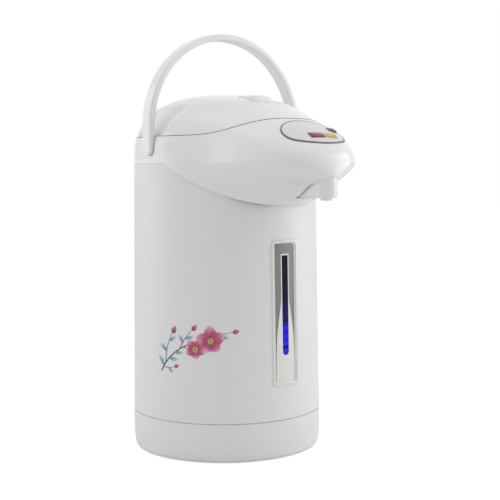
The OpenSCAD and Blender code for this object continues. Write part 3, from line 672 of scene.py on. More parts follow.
def smooth_curve(knots: Sequence[Pair], samples: int = 900) -> Tuple[Points, Points]:
    """Runs a natural cubic spline through knots, by length along them.

    Args:
        knots: Points of two coordinates.
        samples: Number of points wanted.

    Returns:
        Both coordinates of the sampled curve.
    """
    flat = np.array(knots, float)
    t = line_length(flat)
    n = len(t)
    h = np.diff(t)
    lhs = np.eye(n)
    rhs = np.zeros((n, 2))
    for i in range(1, n - 1):
        lhs[i, i - 1], lhs[i, i], lhs[i, i + 1] = h[i - 1], 2 * (h[i - 1] + h[i]), h[i]
        rhs[i] = 6 * ((flat[i + 1] - flat[i]) / h[i] - (flat[i] - flat[i - 1]) / h[i - 1])
    bend = np.linalg.solve(lhs, rhs)
    at = np.linspace(0, t[-1], samples)
    k = np.clip(np.searchsorted(t, at) - 1, 0, n - 2)
    a, b = (t[k + 1] - at)[:, None], (at - t[k])[:, None]
    hk = h[k][:, None]
    out = (
        bend[k] * a**3 / (6 * hk)
        + bend[k + 1] * b**3 / (6 * hk)
        + (flat[k] / hk - bend[k] * hk / 6) * a
        + (flat[k + 1] / hk - bend[k + 1] * hk / 6) * b
    )
    return out[:, 0], out[:, 1]


def ease(value: Any) -> Any:
    """Smooth step from 0 to 1."""
    t = np.clip(value, 0, 1)
    return t * t * (3 - 2 * t)


def line_length(line: Points) -> Points:
    """Length along a line up to each of its points."""
    return np.concatenate([[0], np.cumsum(np.linalg.norm(np.diff(line, axis=0), axis=1))])


def resample(line: Points, count: int) -> Points:
    """Spreads points evenly along a line.

    Args:
        line: Rows of coordinates.
        count: Number of points wanted.

    Returns:
        The new rows.
    """
    length = line_length(line)
    want = np.linspace(0, 1, count) * length[-1]
    return np.stack([np.interp(want, length, line[:, i]) for i in range(line.shape[1])], axis=1)


def soften(line: Points, count: int, both: bool = True) -> Points:
    """Spreads points along a section and rounds its ends.

    Args:
        line: Rows of radius and height.
        count: Number of points wanted.
        both: Whether the far end is rounded too.

    Returns:
        The new rows.
    """
    length = line_length(line)
    end = length[-1]
    if both:
        between = np.linspace(EDGE_LENGTH, end - EDGE_LENGTH, count - 2)
        want = np.concatenate([[0.0], between, [end]])
    else:
        want = np.concatenate([[0.0], np.linspace(EDGE_LENGTH, end, count - 1)])
    out = np.stack([np.interp(want, length, line[:, i]) for i in range(2)], axis=1)
    out[0, 0] -= EDGE_INSET
    if both:
        out[-1, 0] -= EDGE_INSET
    return out


# ---------------------------------------------------------------- shape of the head


@dataclass
class HeadShape:
    """Outer surface of the head, as a radius about the axis at an angle from the nose and a height."""

    body_r: float = 98.5
    neck_r: float = 94.9
    base_h: float = 39.0
    body_top: float = 295.0
    seam_z: float = 322.0
    seam_rise: float = 15.4
    seam_spread: float = 34.0
    dome_top: float = 365.7
    dome_z0: float = 302.8
    dome_powers: Pair = (2.417, 0.3875)
    seam_gap: float = 0.5
    nose_spread: float = 31.2
    wall: float = 2.6
    slope: float = 28.0
    reach: Tuple[Pair, ...] = (
        (252, 94.4), (254.5, 110.9), (257.5, 125.4), (261, 136.9), (266.7, 147.6), (271.5, 154.6),
        (275, 160.6), (277.6, 166), (279.6, 168.6), (282.5, 169.2), (290, 169.2), (296, 168.6),
        (303, 166.4), (310, 161.5), (316, 155.5), (322, 146.5), (328, 134.5), (334, 120.5),
        (340, 107.5), (346, 94), (352, 81), (358.5, 60), (363, 38), (365.7, 1),
    )
    keel: Triple = (0.6, 270.0, 296.0)
    keel_round: Pair = (1.5, 2.5)
    rim_low: float = 252.8
    rim_curve: float = 0.0075
    overlap: float = 1.8
    overlap_fade: Triple = (81.0, 15.0, 14.0)
    panel_z: Pair = (296.0, 364.0)
    dome_samples: int = 400
    dome_crowding: float = 2.2
    table: Tuple[Points, Points] = field(init=False)

    def __post_init__(self) -> None:
        """Samples the nose's reach once."""
        self.table = smooth_curve(self.reach)

    def lean(self, z: Any) -> Any:
        """Taper of the casing above its narrow end."""
        return (self.body_r - self.neck_r) / (self.body_top - self.base_h) * (self.body_top - z)

    def shell(self, z: Any) -> Any:
        """Radius of the casing."""
        return self.neck_r + self.lean(z)

    def round_part(self, z: Points) -> Points:
        """Radius of the head without its nose.

        Args:
            z: Heights.

        Returns:
            The radius at each height.
        """
        top = np.clip((z - self.dome_z0) / (self.dome_top - self.dome_z0), 0, 1)
        flatness, fullness = self.dome_powers
        dome = (self.neck_r - 0.1) * np.maximum(0, 1 - top**flatness) ** fullness
        return np.where(z < self.dome_z0, self.neck_r - 0.1 + np.maximum(0, self.lean(z)), dome)

    def fade(self, a: Any, z: Any = 302.8) -> Any:
        """Share of the nose at an angle from straight ahead; low down it narrows to a keel.

        Args:
            a: Angle from the nose in degrees.
            z: Height.

        Returns:
            1 on the nose, falling to 0 at the sides.
        """
        narrow, low, high = self.keel
        sharp, blunt = self.keel_round
        share = ease((np.asarray(z) - low) / (high - low))
        spread = self.nose_spread * (narrow + (1 - narrow) * share)
        return np.exp(-((np.abs(a) / spread) ** (sharp + (blunt - sharp) * share)))

    def radius(self, a: Any, z: Any) -> Points:
        """Radius of the head.

        Args:
            a: Angle from the nose in degrees.
            z: Height.

        Returns:
            The radius.
        """
        z = np.asarray(z, float)
        base = self.round_part(z)
        # The root of the cosine makes the nose's front squarer; 0.4 keeps it finite at the sides.
        nose = np.interp(z, *self.table) / np.sqrt(np.maximum(np.cos(np.radians(a)), 0.4))
        return base + (np.maximum(nose, base) - base) * self.fade(a, z)

    def seam(self, a: Any) -> Any:
        """Height of the lid seam."""
        return self.seam_z + self.seam_rise * np.exp(-((np.abs(a) / self.seam_spread) ** 3))

    def rim(self, a: Any) -> Any:
        """Height of the housing's lower edge."""
        return np.minimum(self.body_top, self.rim_low + self.rim_curve * np.asarray(a, float) ** 2)

    def housing(self, a: float, z: Points) -> Points:
        """Radius of the upper housing, which stands proud of the casing below their seam.

        Args:
            a: Angle from the nose in degrees.
            z: Heights.

        Returns:
            The radius at each height.
        """
        side, width, height = self.overlap_fade
        lift = self.overlap * min(1.0, max(0.0, (side - abs(a)) / width))
        proud = self.round_part(z) + 0.1 + lift * (1 - ease((z - self.body_top) / height))
        return np.maximum(self.radius(a, z), proud)

    def above(self, x: float, y: float) -> float:
        """Height of the surface above a point of the plan, found by halving.

        Args:
            x: Place to the side.
            y: Place in front of the axis.

        Returns:
            The height.
        """
        low, high = self.panel_z
        for _ in range(28):
            mid = (low + high) / 2
            inside = float(self.radius(math.degrees(math.atan2(x, y)), mid)) > math.hypot(x, y)
            low, high = (mid, high) if inside else (low, mid)
        return low

    def on_nose(self, x: float, y: float) -> Matrix:
        """Frame on the nose's top: its Z stands off the surface."""
        place = Matrix.Translation((x, -y, self.above(x, y)))
        return place @ Matrix.Rotation(math.radians(self.slope), 4, "X")

    def dome_line(self, a: float, low: float, count: int) -> Points:
        """Points from the seam to the top of the dome at one angle.

        Args:
            a: Angle from the nose.
            low: Distance above the seam at which the line starts.
            count: Number of points.

        Returns:
            Rows of radius and height.
        """
        start = self.seam(a) + low
        # The power draws the samples together near the top, where the dome is flat.
        share = 1 - np.linspace(1, 0, self.dome_samples) ** self.dome_crowding
        z = start + (self.dome_top - start) * share
        r = self.radius(a, z)
        r[-1] = POLE_R
        return soften(np.stack([r, z], axis=1), count, both=False)


def spin(a: Any, r: Any, z: Any) -> Points:
    """Point at angle a in degrees from the nose, radius r and height z."""
    t = np.radians(a)
    return np.stack(np.broadcast_arrays(-r * np.sin(t), -r * np.cos(t), z), axis=-1)


def dome_skin(
    head: HeadShape, low: float, columns: int, dent: Optional[Callable[[Points], Points]], rows: int = 78
) -> Solid:
    """Closed cap of the dome above the seam, with an outer and an inner skin.

    Args:
        head: Shape of the head.
        low: Distance of its edge above the seam.
        columns: Steps round the axis.
        dent: Moves the outer points of a line where the surface is recessed.
        rows: Points from the edge to the top.

    Returns:
        Points and faces.
    """
    outer, inner = [], []
    for a in np.linspace(-180, 180, columns, endpoint=False):
        line = head.dome_line(float(a), low, rows)
        ring = spin(a, line[:, 0], line[:, 1])
        if dent is not None:
            ring = dent(ring)
        reach = np.hypot(ring[:, 0], ring[:, 1])
        keep = np.maximum(reach - head.wall, POLE_R) / np.maximum(reach, POLE_R)
        under = ring * np.column_stack([keep, keep, np.ones(rows)])
        under[:, 2] -= head.wall * np.linspace(0, 1, rows)
        outer.append(ring)
        inner.append(under)
    n = columns * rows
    points = np.concatenate([np.array(outer).reshape(-1, 3), np.array(inner).reshape(-1, 3)])
    faces = grid_faces(columns, rows, True, False)
    faces += grid_faces(columns, rows, True, False, n)
    for i in range(columns):
        k = (i + 1) % columns
        faces.append((i * rows, k * rows, n + k * rows, n + i * rows))
    tops = [i * rows + rows - 1 for i in range(columns)]
    faces.append(tuple(tops))
    faces.append(tuple(n + t for t in tops))
    return points, faces


# ---------------------------------------------------------------- lower body


@dataclass
class Casing:
    """Painted steel casing and moulded base ring."""

    head: HeadShape
    segments: int = 288
    sheet: float = 1.0
    rows: int = 44
    edge: float = 0.45
    window: Triple = (13.4, 77.6, 215.4)
    inlet: Triple = (15.0, 12.0, 34.0)
    inlet_steps: Tuple[Triple, ...] = ((0.3, 1.0, 80.0), (2.3, 2.0, 97.0))
    floor_r: float = 84.0
    floor_z: Pair = (4.9, 7.2)
    cover_r: float = 91.9
    cover_lip: float = 2.4
    foot: Tuple[Triple, ...] = ((93.2, 0.8, 0.8), (95.4, 1.2, 1.2), (97.0, 3.4, 2.0), (97.9, 9.0, 5.0))
    base_proud: float = 0.1
    base_play: float = 0.05
    neck_in: Triple = (1.4, 3.5, 3.9)
    neck_top: float = 45.0

    def base_ring(self) -> None:
        """Turns the base with its rounded foot and cuts the opening of the power inlet."""
        r, shoulder = self.head.body_r, self.head.base_h - self.base_play
        under, over = self.floor_z
        outside = r + self.base_proud
        neck_r, upper_r, lower_r = (r - inset for inset in self.neck_in)
        foot = [(self.cover_r, self.cover_lip, 0), *self.foot]
        wall = [(outside, 20, 6), (outside, shoulder, 0.9), (neck_r, shoulder, 0)]
        neck = [(neck_r, self.neck_top, 0), (upper_r, self.neck_top, 0), (lower_r, 9, 0)]
        floor = [(self.cover_r, over, 0), (self.floor_r, over, 0)]
        profile = fillet([(self.floor_r, under, 0), (self.cover_r, under, 0)] + foot + wall + neck + floor)
        skin = revolve(profile, self.segments)
        ring = make_object("base_ring_skin", *skin, BASE_ABS, crease=40)
        half, low, high = self.inlet
        cuts = []
        # The opening itself, and the wider recess at its mouth.
        for rim, radius, start in self.inlet_steps:
            opening = rounded_box(half + rim, low - rim, high + rim, radius)
            cuts.append(cutter(*prism(opening, "y", start, 110)))
        carve(ring, cuts, 40)
        settle(ring, "pot", "white_matte", ["base_ring"])

    def shell(self) -> None:
        """Rolls the tapered casing and cuts the gauge's window."""
        h = self.head
        low, high = h.base_h + self.edge, h.body_top - 0.02
        heights = [low + (high - low) * i / self.rows for i in range(self.rows + 1)]
        outer = [(float(h.shell(z)), z) for z in heights]
        outer[0] = (outer[0][0] - self.edge, low)
        outer.insert(1, (float(h.shell(low + self.edge)), low + self.edge))
        inner = [(float(h.shell(z)) - self.sheet, z) for z in reversed(heights)]
        body = make_object("casing_skin", *revolve(outer + inner, self.segments), PEARL_ENAMEL, crease=45)
        carve(body, [cutter(*prism(rounded_box(*self.window, 3), "y", *FRONT_CUT))], 45)
        settle(body, "pot", "casing_paint", ["body_shell"])

    def build(self) -> None:
        """Builds base and casing."""
        self.base_ring()
        self.shell()


# ---------------------------------------------------------------- gauge


@dataclass
class LevelGauge:
    """Level gauge: frame, printed lens with its slot, window of painted glow, tube behind it and tick bands.
    """

    head: HeadShape
    aside: float = 1.5
    width: float = 33.6
    z0: float = 73.4
    z1: float = 219.0
    border: float = 3.4
    corner: Pair = (5.0, 1.6)
    outer_edge: Tuple[Pair, ...] = ((0, -2.3), (0, 0.35), (0.25, 0.8), (0.7, 1.0))
    inner_edge: Tuple[Pair, ...] = ((0.7, 1.0), (0.2, 0.75), (0, 0.3), (0, -2.3))
    frame_steps: int = 240
    sheet_columns: int = 15
    lip: float = 0.1
    slot_r: float = 3.9
    slot_z0: float = 104.0
    slot_z1: float = 203.5
    slot_play: float = 0.02
    tube_y: float = -88.6
    tube_r: float = 4.0
    tube_wall: float = 1.0
    tube_z: Pair = (54.0, 250.0)
    bell: Tuple[Pair, ...] = (
        (76, 12.0), (100, 11.7), (110, 11.4), (120, 10.8), (130, 9.8), (140, 8.2), (150, 6.6),
        (158, 5.4), (164, 5.1),
    )
    bell_over: float = 1.5
    ticks: Tuple[float, ...] = (190.0, 164.0, 138.0, 111.6)
    tick_half: float = 1.25
    tick_rows: Tuple[float, ...] = (-1, -0.48, 0, 0.48, 1)
    grey_level: Pair = (-2.2, -0.6)
    bell_level: Pair = (-0.62, -0.5)
    glow_level: Pair = (-1.8, -0.9)
    tick_level: Pair = (-1.0, -0.82)

    def on_casing(self, x: Any, z: Any, proud: Any) -> Points:
        """Point of the casing's front, or a row of them.

        Args:
            x: Place across the gauge.
            z: Height.
            proud: Height over the casing.

        Returns:
            The point or points.
        """
        r = self.head.shell(np.asarray(z, float)) + proud
        across = np.asarray(x, float) + self.aside
        return np.stack(np.broadcast_arrays(across, -np.sqrt(r**2 - across**2), z), axis=-1)

    def frame(self) -> None:
        """Sweeps the frame's rounded section round its outline."""
        half, low, high = self.width / 2, self.z0, self.z1
        section = list(self.outer_edge) + [(self.border - back, proud) for back, proud in self.inner_edge]
        loops = []
        outside, inside = self.corner
        for inset, proud in section:
            line = rounded_box(half - inset, low + inset, high - inset, max(outside - inset, inside), 10)
            closed = np.array(line + [line[0]])
            flat = resample(closed, self.frame_steps + 1)[:-1]
            loops.append(self.on_casing(flat[:, 0], flat[:, 1], proud))
        rings = np.stack(loops, axis=1)
        obj = make_object("gauge_frame_skin", *ring_skin(rings, False), FRAME_ABS, crease=50)
        settle(obj, "pot", "white_plastic", ["gauge_frame"])

    def slot_half(self, z: float) -> float:
        """Half width of the slot.

        Args:
            z: Height.

        Returns:
            Half of the width, or 0 outside the slot.
        """
        if not self.slot_z0 < z <= self.slot_z1:
            return 0.0
        up = self.slot_r - (z - self.slot_z0)
        return self.slot_r if up <= 0 else math.sqrt(max(self.slot_r**2 - up**2, 0))

    def sheet(
        self,
        name: str,
        rows: Sequence[Pair],
        proud: Pair,
        finish: Finish,
        slotted: bool = True,
    ) -> bpy.types.Object:
        """A thin sheet that follows the casing from edge to edge.

        Args:
            name: Piece name.
            rows: Height and half width.
            proud: Height of the back and of the front over the casing.
            finish: Finish of the sheet.
            slotted: Whether the slot is cut out of it.

        Returns:
            The piece.
        """
        rings = []
        for z, half in rows:
            line = np.linspace(-half, half, self.sheet_columns)
            front = self.on_casing(line, z, proud[1])
            back = self.on_casing(line[::-1], z, proud[0])
            rings.append(np.concatenate([front, back]))
        obj = make_object(name, *ring_skin(np.array(rings), True), finish, crease=30)
        if slotted:
            r, x = self.slot_r, self.aside
            slot = arc((x, self.slot_z0 + r), r, 180, 360, 33)
            slot += [(x + r, self.slot_z1), (x - r, self.slot_z1)]
            carve(obj, [cutter(*prism(slot, "y", *FRONT_CUT))], 30)
        return obj

    def lens(self) -> None:
        """Builds the grey field, and the white bell that runs up round the slot."""
        edge = self.width / 2 - self.border + self.lip
        low, high = self.z0 + self.border - self.lip, self.z1 - self.border + self.lip
        tall = np.linspace(low, high, 49)
        grey = self.sheet("gauge_lens_skin", [(z, edge) for z in tall], self.grey_level, GREY_PRINT)
        settle(grey, "pot", "grey_print", ["gauge_lens"])
        heights, widths = smooth_curve(self.bell, 200)
        tall = np.linspace(low, self.slot_z1 + self.bell_over, 64)
        white = [(z, float(np.interp(z, heights, widths))) for z in tall]
        bell = self.sheet("gauge_bell_print", white, self.bell_level, WHITE_PRINT)
        settle(bell, "pot", "white_plastic")

    def tube(self) -> None:
        """Fills the slot with a window of painted glow in front of the tube, and its dark ticks."""
        low, high = self.tube_z
        inner = self.tube_r - self.tube_wall
        points, faces = revolve([(inner, low), (self.tube_r, low), (self.tube_r, high), (inner, high)], 64)
        tube = make_object("sight_tube_skin", points + [0, self.tube_y, 0], faces, SIGHT_TUBE)
        settle(tube, "pot", "clear_plastic", ["sight_tube"])
        foot = [self.slot_z0 + self.slot_r * (1 - math.cos(t)) for t in np.linspace(0.08, math.pi / 2, 9)]
        straight = np.linspace(self.slot_z0 + self.slot_r + 1, self.slot_z1 - self.slot_play, 40)
        rows = self.slot_rows(foot + list(straight))
        # The window is a sheet of painted glow and painted shade laid in the slot.
        window = self.sheet("gauge_painted_glow_window", rows, self.glow_level, SIGHT_TUBE, False)
        settle(window, "pot", "clear_plastic")
        for i, z in enumerate(self.ticks):
            rows = self.slot_rows([z + self.tick_half * k for k in self.tick_rows])
            tick = self.sheet(f"gauge_tick_{i}", rows, self.tick_level, TICK_PRINT, False)
            settle(tick, "pot", "grey_print")

    def slot_rows(self, heights: Sequence[float]) -> List[Pair]:
        """Rows of height and half width that fill the slot with a hair of play."""
        return [(z, self.slot_half(z) - self.slot_play) for z in heights]

    def build(self) -> None:
        """Builds the whole gauge."""
        self.frame()
        self.lens()
        self.tube()


# ---------------------------------------------------------------- printed spray


@dataclass
class FlowerSpray:
    """Printed spray: an arched stem with two open blossoms, round buds and pairs of slim leaves."""

    head: HeadShape
    centre_a: float = 55.0
    centre_z: float = 118.0
    scale: float = 1.2
    proud: float = 0.07
    layer: float = 4e-4
    petal_root: float = 1.4
    petal_width: float = 0.44
    eye_length: float = 2.6
    leaf_width: float = 0.17
    bud_width: float = 0.34
    shapes: Dict[str, List[Tuple[Points, Points, Faces]]] = field(default_factory=dict)

    def wrap(self, s: Points, z: Points) -> Points:
        """Lays a flat drawing on the casing.

        Args:
            s: Distance to the right of the spray's centre.
            z: Distance above it.

        Returns:
            Points on the casing.
        """
        height = self.centre_z + z * self.scale
        r = self.head.shell(height) + self.proud
        return spin(self.centre_a - np.degrees(s * self.scale / r), r, height)

    def patch(
        self,
        kind: str,
        root: Pair,
        heading: float,
        length: float,
        width: Callable[[Points], Points],
        bend: float = 0.0,
        rows: int = 15,
    ) -> None:
        """Adds one petal, leaf or stroke.

        Args:
            kind: Ink that it takes.
            root: Where it starts.
            heading: Its direction in degrees.
            length: Its length.
            width: Half width at a share of the length.
            bend: Turn from root to tip in degrees.
            rows: Rows along it.
        """
        t = np.linspace(0, 1, rows)
        angle = np.radians(heading + bend * t)
        step = length / (rows - 1)
        mid_s = root[0] + np.concatenate([[0], np.cumsum(np.cos(angle[:-1]) * step)])
        mid_z = root[1] + np.concatenate([[0], np.cumsum(np.sin(angle[:-1]) * step)])
        across = np.linspace(-1, 1, 7)
        half = width(t)
        s = mid_s[:, None] - np.sin(angle)[:, None] * half[:, None] * across
        z = mid_z[:, None] + np.cos(angle)[:, None] * half[:, None] * across
        uv = np.stack(np.broadcast_arrays(t[:, None], (across + 1) / 2), axis=2).reshape(-1, 2)
        faces = grid_faces(rows, len(across), False, False)
        self.shapes.setdefault(kind, []).append((self.wrap(s, z).reshape(-1, 3), uv, faces))

    def blossom(self, s: float, z: float, size: float, turn: float, tilt: float) -> None:
        """Adds a blossom of five round petals and its eye.

        Args:
            s: Place to the right.
            z: Place above.
            size: Length of a petal.
            turn: Turn of the first petal in degrees.
            tilt: How much the lower petals are foreshortened, from 0 to 1.
        """
        half = size * self.petal_width
        for k in range(5):
            heading = turn + 72 * k
            across, up = math.cos(math.radians(heading)), math.sin(math.radians(heading))
            share = 1 - tilt * max(0.0, -up)
            root = (s + self.petal_root * across, z + self.petal_root * up)
            self.patch(
                "petal", root, heading, size * share,
                lambda t: half * np.sin(np.pi * np.clip(0.08 + 0.92 * t**0.85, 0, 1)) ** 0.72, 6,
            )
        for k in range(9):
            heading = 40 * k + turn
            self.patch("eye", (s, z), heading, self.eye_length, lambda t: 0.34 * (1.3 - t * 0.4), 0, 4)

    def leaf(self, root: Triple, turn: float, length: float) -> None:
        """Adds a slim leaf.

        Args:
            root: Place and heading of its twig where it starts.
            turn: Angle in degrees at which it leaves the twig.
            length: Its length.
        """
        half = length * self.leaf_width
        self.patch(
            "leaf", root[:2], root[2] + turn, length, lambda t: half * np.sin(np.pi * t**0.8) ** 0.9, 24
        )

    def bud(self, root: Triple, length: float) -> None:
        """Adds a round bud at the end of a twig."""
        half = length * self.bud_width
        self.patch("bud", root[:2], root[2], length, lambda t: half * np.sin(np.pi * t**0.7) ** 0.8, 10)

    def stem(
        self, root: Triple, turn: float, length: float, bend: float, thick: float
    ) -> Callable[[float], Triple]:
        """Adds a tapering stem.

        Args:
            root: Place and heading at which it starts.
            turn: Its turn from that heading in degrees.
            length: Its length.
            bend: Turn from its root to its tip in degrees.
            thick: Half of its width at the root.

        Returns:
            A function that gives place and heading at a share of its length.
        """
        s, z, start = root
        heading = start + turn
        self.patch("stem", (s, z), heading, length, lambda t: thick * (1 - 0.6 * t), bend, 24)
        steps = 23
        share = np.linspace(0, 1, steps + 1)
        angle = np.radians(heading + bend * share)
        run = np.concatenate([[0], np.cumsum(np.cos(angle[:-1]))]) * length / steps + s
        rise = np.concatenate([[0], np.cumsum(np.sin(angle[:-1]))]) * length / steps + z

        def at(t: float) -> Triple:
            """Place and heading at a share of the stem's length."""
            return float(np.interp(t, share, run)), float(np.interp(t, share, rise)), heading + bend * t

        return at

    def build(self) -> None:
        """Draws the spray and makes one piece for each ink."""
        main = self.stem((-33.0, -24.0, 0.0), 60, 56, -62, 0.6)
        upper = self.stem(main(0.16), 40, 27, -34, 0.42)
        middle = self.stem(main(0.5), 38, 20, -26, 0.38)
        lower = self.stem(main(0.56), -42, 11, 16, 0.34)
        last = self.stem(main(0.97), 34, 22, -30, 0.36)
        small = self.stem(main(0.08), -66, 12, 30, 0.32)
        for twig, length in ((upper, 7.0), (middle, 6.0), (last, 5.6), (small, 4.8)):
            self.bud(twig(0.97), length)
        self.blossom(*main(1.0)[:2], 11.5, 22, 0.25)
        self.blossom(*lower(1.0)[:2], 8.2, 60, 0.2)
        for root, turn, length in (
            (main(0.1), 62, 10.5), (main(0.26), -58, 9.5), (main(0.4), -44, 8.0),
            (upper(0.35), 52, 10.0), (upper(0.7), -46, 8.0), (middle(0.5), -48, 8.5),
            (middle(0.28), 50, 8.0), (last(0.5), -52, 8.0), (small(0.45), -50, 6.5),
        ):
            self.leaf(root, turn, length)
        inks = {"stem": STEM_INK, "leaf": LEAF_INK, "bud": BUD_INK, "petal": PETAL_INK, "eye": EYE_INK}
        for order, (kind, ink) in enumerate(inks.items()):
            grow = 1 + order * self.layer
            points, faces = join_parts([(flat * [grow, grow, 1], own) for flat, _, own in self.shapes[kind]])
            uvs = np.concatenate([uv for _, uv, _ in self.shapes[kind]])
            piece = make_object(f"printed_{kind}", points, faces, ink, closed=False, uvs=uvs)
            settle(piece, "pot", "casing_paint")


# ---------------------------------------------------------------- upper housing


@dataclass
class Housing:
    """Upper housing with its nose, fixed rear hood, pivot bosses, spout cover and nozzle."""

    head: HeadShape
    columns: int = 320
    samples: int = 700
    casing_play: float = 0.3
    cheek_x: float = 87.2
    cheek_wall: float = 2.8
    cheek_angle: float = 76.0
    pivot_z: float = 310.0
    pocket_r: float = 9.7
    pocket_y: float = 52.0
    pocket_top: float = 345.0
    pocket_end: float = 120.0
    boss: Triple = (4.05, 7.5, 4.3)
    boss_in: float = 0.9
    spout_y: float = 159.0
    spout_z: float = 261.0
    spout_r: float = 10.5
    skin_slot_top: float = 279.3
    slot_play: float = 0.25
    slot_gap: float = 2.2
    slot_back: Triple = (5.0, 6.0, -94.0)
    cover_play: float = 0.35
    cover_wall: float = 2.0
    cover_top: float = 280.2
    cover_edge: Tuple[Pair, ...] = ((0, 1.6), (0.12, 0.9), (0.5, 0.35), (1.2, 0))
    cover_back: float = 5.0
    nozzle_hole: Tuple[Pair, ...] = ((0.01, 240), (5.6, 240), (5.6, 290), (0.01, 290))
    nozzle: Tuple[Triple, ...] = (
        (3, -2.5, 0.4), (5.5, -2.5, 0.8), (5.5, 2.1, 0), (7.6, 2.1, 0), (7.6, 3.7, 0), (4, 3.7, 0),
        (4, 10, 0), (3, 10, 0),
    )
    key_play: float = 1.4
    key_cut: Pair = (30.0, -8.0)
    hinge: Pair = (42.0, 355.0)
    roll_r: float = 8.2
    roll_foot: Pair = (3.0, -6.0)
    hood_play: float = 0.05
    hood_gap: float = 0.5
    split_x: float = 125.0
    split_y: float = 200.0
    split_z: Pair = (250.0, 400.0)

    def skin_line(self, a: float, rows: int = 76) -> Points:
        """Closed section of the housing at one angle, with rounded edges at the rim and at the seam.

        Args:
            a: Angle from the nose.
            rows: Points on the outer skin.

        Returns:
            Rows of radius and height.
        """
        h = self.head
        low, high = float(h.rim(a)), float(h.seam(a)) - h.seam_gap / 2
        z = np.linspace(low, high, self.samples)
        outer = soften(np.stack([h.housing(a, z), z], axis=1), rows)
        thick = h.wall * (1 + float(h.fade(a)))
        inner = outer[::-1].copy()
        inner[:, 0] -= thick
        share = (inner[:, 1] - low) / (high - low)
        inner[:, 1] += h.wall * float(h.fade(a)) * np.sin(2 * np.pi * share)
        below = inner[:, 1] < h.body_top
        inner[below, 0] = np.maximum(inner[below, 0], h.shell(inner[below, 1]) + self.casing_play)
        if abs(a) > self.cheek_angle:
            limit = (self.cheek_x - self.cheek_wall) / max(math.sin(math.radians(abs(a))), 0.1)
            inner[~below, 0] = np.minimum(inner[~below, 0], limit)
        return np.concatenate([outer, inner])

    def collar(self) -> None:
        """Lofts the housing round the axis and cuts pockets, spout slot and key holes."""
        rings = []
        for a in np.linspace(-180, 180, self.columns, endpoint=False):
            line = self.skin_line(float(a))
            rings.append(spin(a, line[:, 0], line[:, 1]))
        obj = make_object("upper_housing_skin", *ring_skin(np.array(rings), False), WHITE_ABS, crease=38)
        carve(obj, self.pockets() + [self.spout_slot()] + self.key_holes(), 38)
        settle(obj, "pot", "white_plastic", ["collar"])

    def pockets(self) -> List[bpy.types.Object]:
        """Shapes the pockets in which the bail's legs stand and fold back.

        Returns:
            A cutter for each side.
        """
        r, floor = self.pocket_r, self.pivot_z - self.pocket_r
        outline = [(-r, self.pocket_top)] + arc((0, self.pivot_z), r, 180, 270, 14)
        outline += [(self.pocket_y, floor), (self.pocket_y, self.pocket_top)]
        return [
            cutter(*prism(outline, "x", low, high))
            for low, high in ((self.cheek_x, self.pocket_end), (-self.pocket_end, -self.cheek_x))
        ]

    def spout_slot(self) -> bpy.types.Object:
        """Shapes the slot in the nose's underside, wider behind the round end of the spout cover.

        Returns:
            The cutter.
        """
        r, side = self.spout_r + self.slot_play, self.spout_r + self.slot_gap
        narrow, wide, end = self.slot_back
        back = [(-r, narrow - self.spout_y), (-side, wide - self.spout_y), (-side, end)]
        slot = arc((0, -self.spout_y), r, 0, -180, 33) + back + [(-x, y) for x, y in reversed(back)]
        return cutter(*prism(slot, "z", self.spout_z - self.cover_play, self.skin_slot_top))

    def key_holes(self) -> List[bpy.types.Object]:
        """Shapes the holes through which the keys reach their board.

        Returns:
            A cutter for each key.
        """
        cuts = []
        deep, sunk = self.key_cut
        for _, x, y, wide in ControlPanel.keys:
            size = (wide + self.key_play, ControlPanel.key_length + self.key_play, deep)
            points, faces = box_points(size, (0, 0, sunk))
            cuts.append(cutter(move(points, self.head.on_nose(x, y)), faces))
        return cuts

    def bosses(self) -> None:
        """Turns the two rings round the bail's pivots, on the inside of the cheeks."""
        bore, outer, depth = self.boss
        for side in (-1, 1):
            points, faces = tube_along_x(bore, outer, depth / 2, 64)
            points = (points + [depth / 2, 0, 0]) * [side, 1, 1]
            place = [side * (self.cheek_x - self.boss_in), 0, self.pivot_z]
            ring = make_object(f"pivot_boss_{side + 1}", points + place, faces, WHITE_ABS)
            settle(ring, "pot", "white_plastic")

    def lid_side(self, grow: float) -> List[Pair]:
        """Outline of the space behind the lid, over the rolled rear edge.

        Args:
            grow: Distance by which the lid's side is widened.

        Returns:
            Rows of y and z.
        """
        behind, under = self.roll_foot
        rear = self.hinge[0] + behind + grow
        roll = arc(self.hinge, self.roll_r + grow, 90, 0, 19)
        return roll + [(rear, self.head.seam_z + under), (rear, self.split_z[0])]

    def split(self, grow: float, far: float) -> bpy.types.Object:
        """Cutter for the dome on one side of the lid's rolled rear edge.

        Args:
            grow: Distance by which the lid's side is widened.
            far: Y up to which it cuts: below zero for the lid's side, above for the hood's.

        Returns:
            The cutter.
        """
        low, high = self.split_z
        outline = [(far, high), (self.hinge[0], high)] + self.lid_side(grow) + [(far, low)]
        return cutter(*prism(outline, "x", -self.split_x, self.split_x))

    def hood(self) -> None:
        """Closes the dome behind the lid with the fixed hood."""
        skin = dome_skin(self.head, self.hood_play - self.head.seam_gap / 2, self.columns, None)
        obj = make_object("rear_hood_skin", *skin, WHITE_ABS, crease=40)
        carve(obj, [self.split(self.hood_gap, -self.split_y)], 40)
        settle(obj, "pot", "white_plastic", ["rear_hood"])

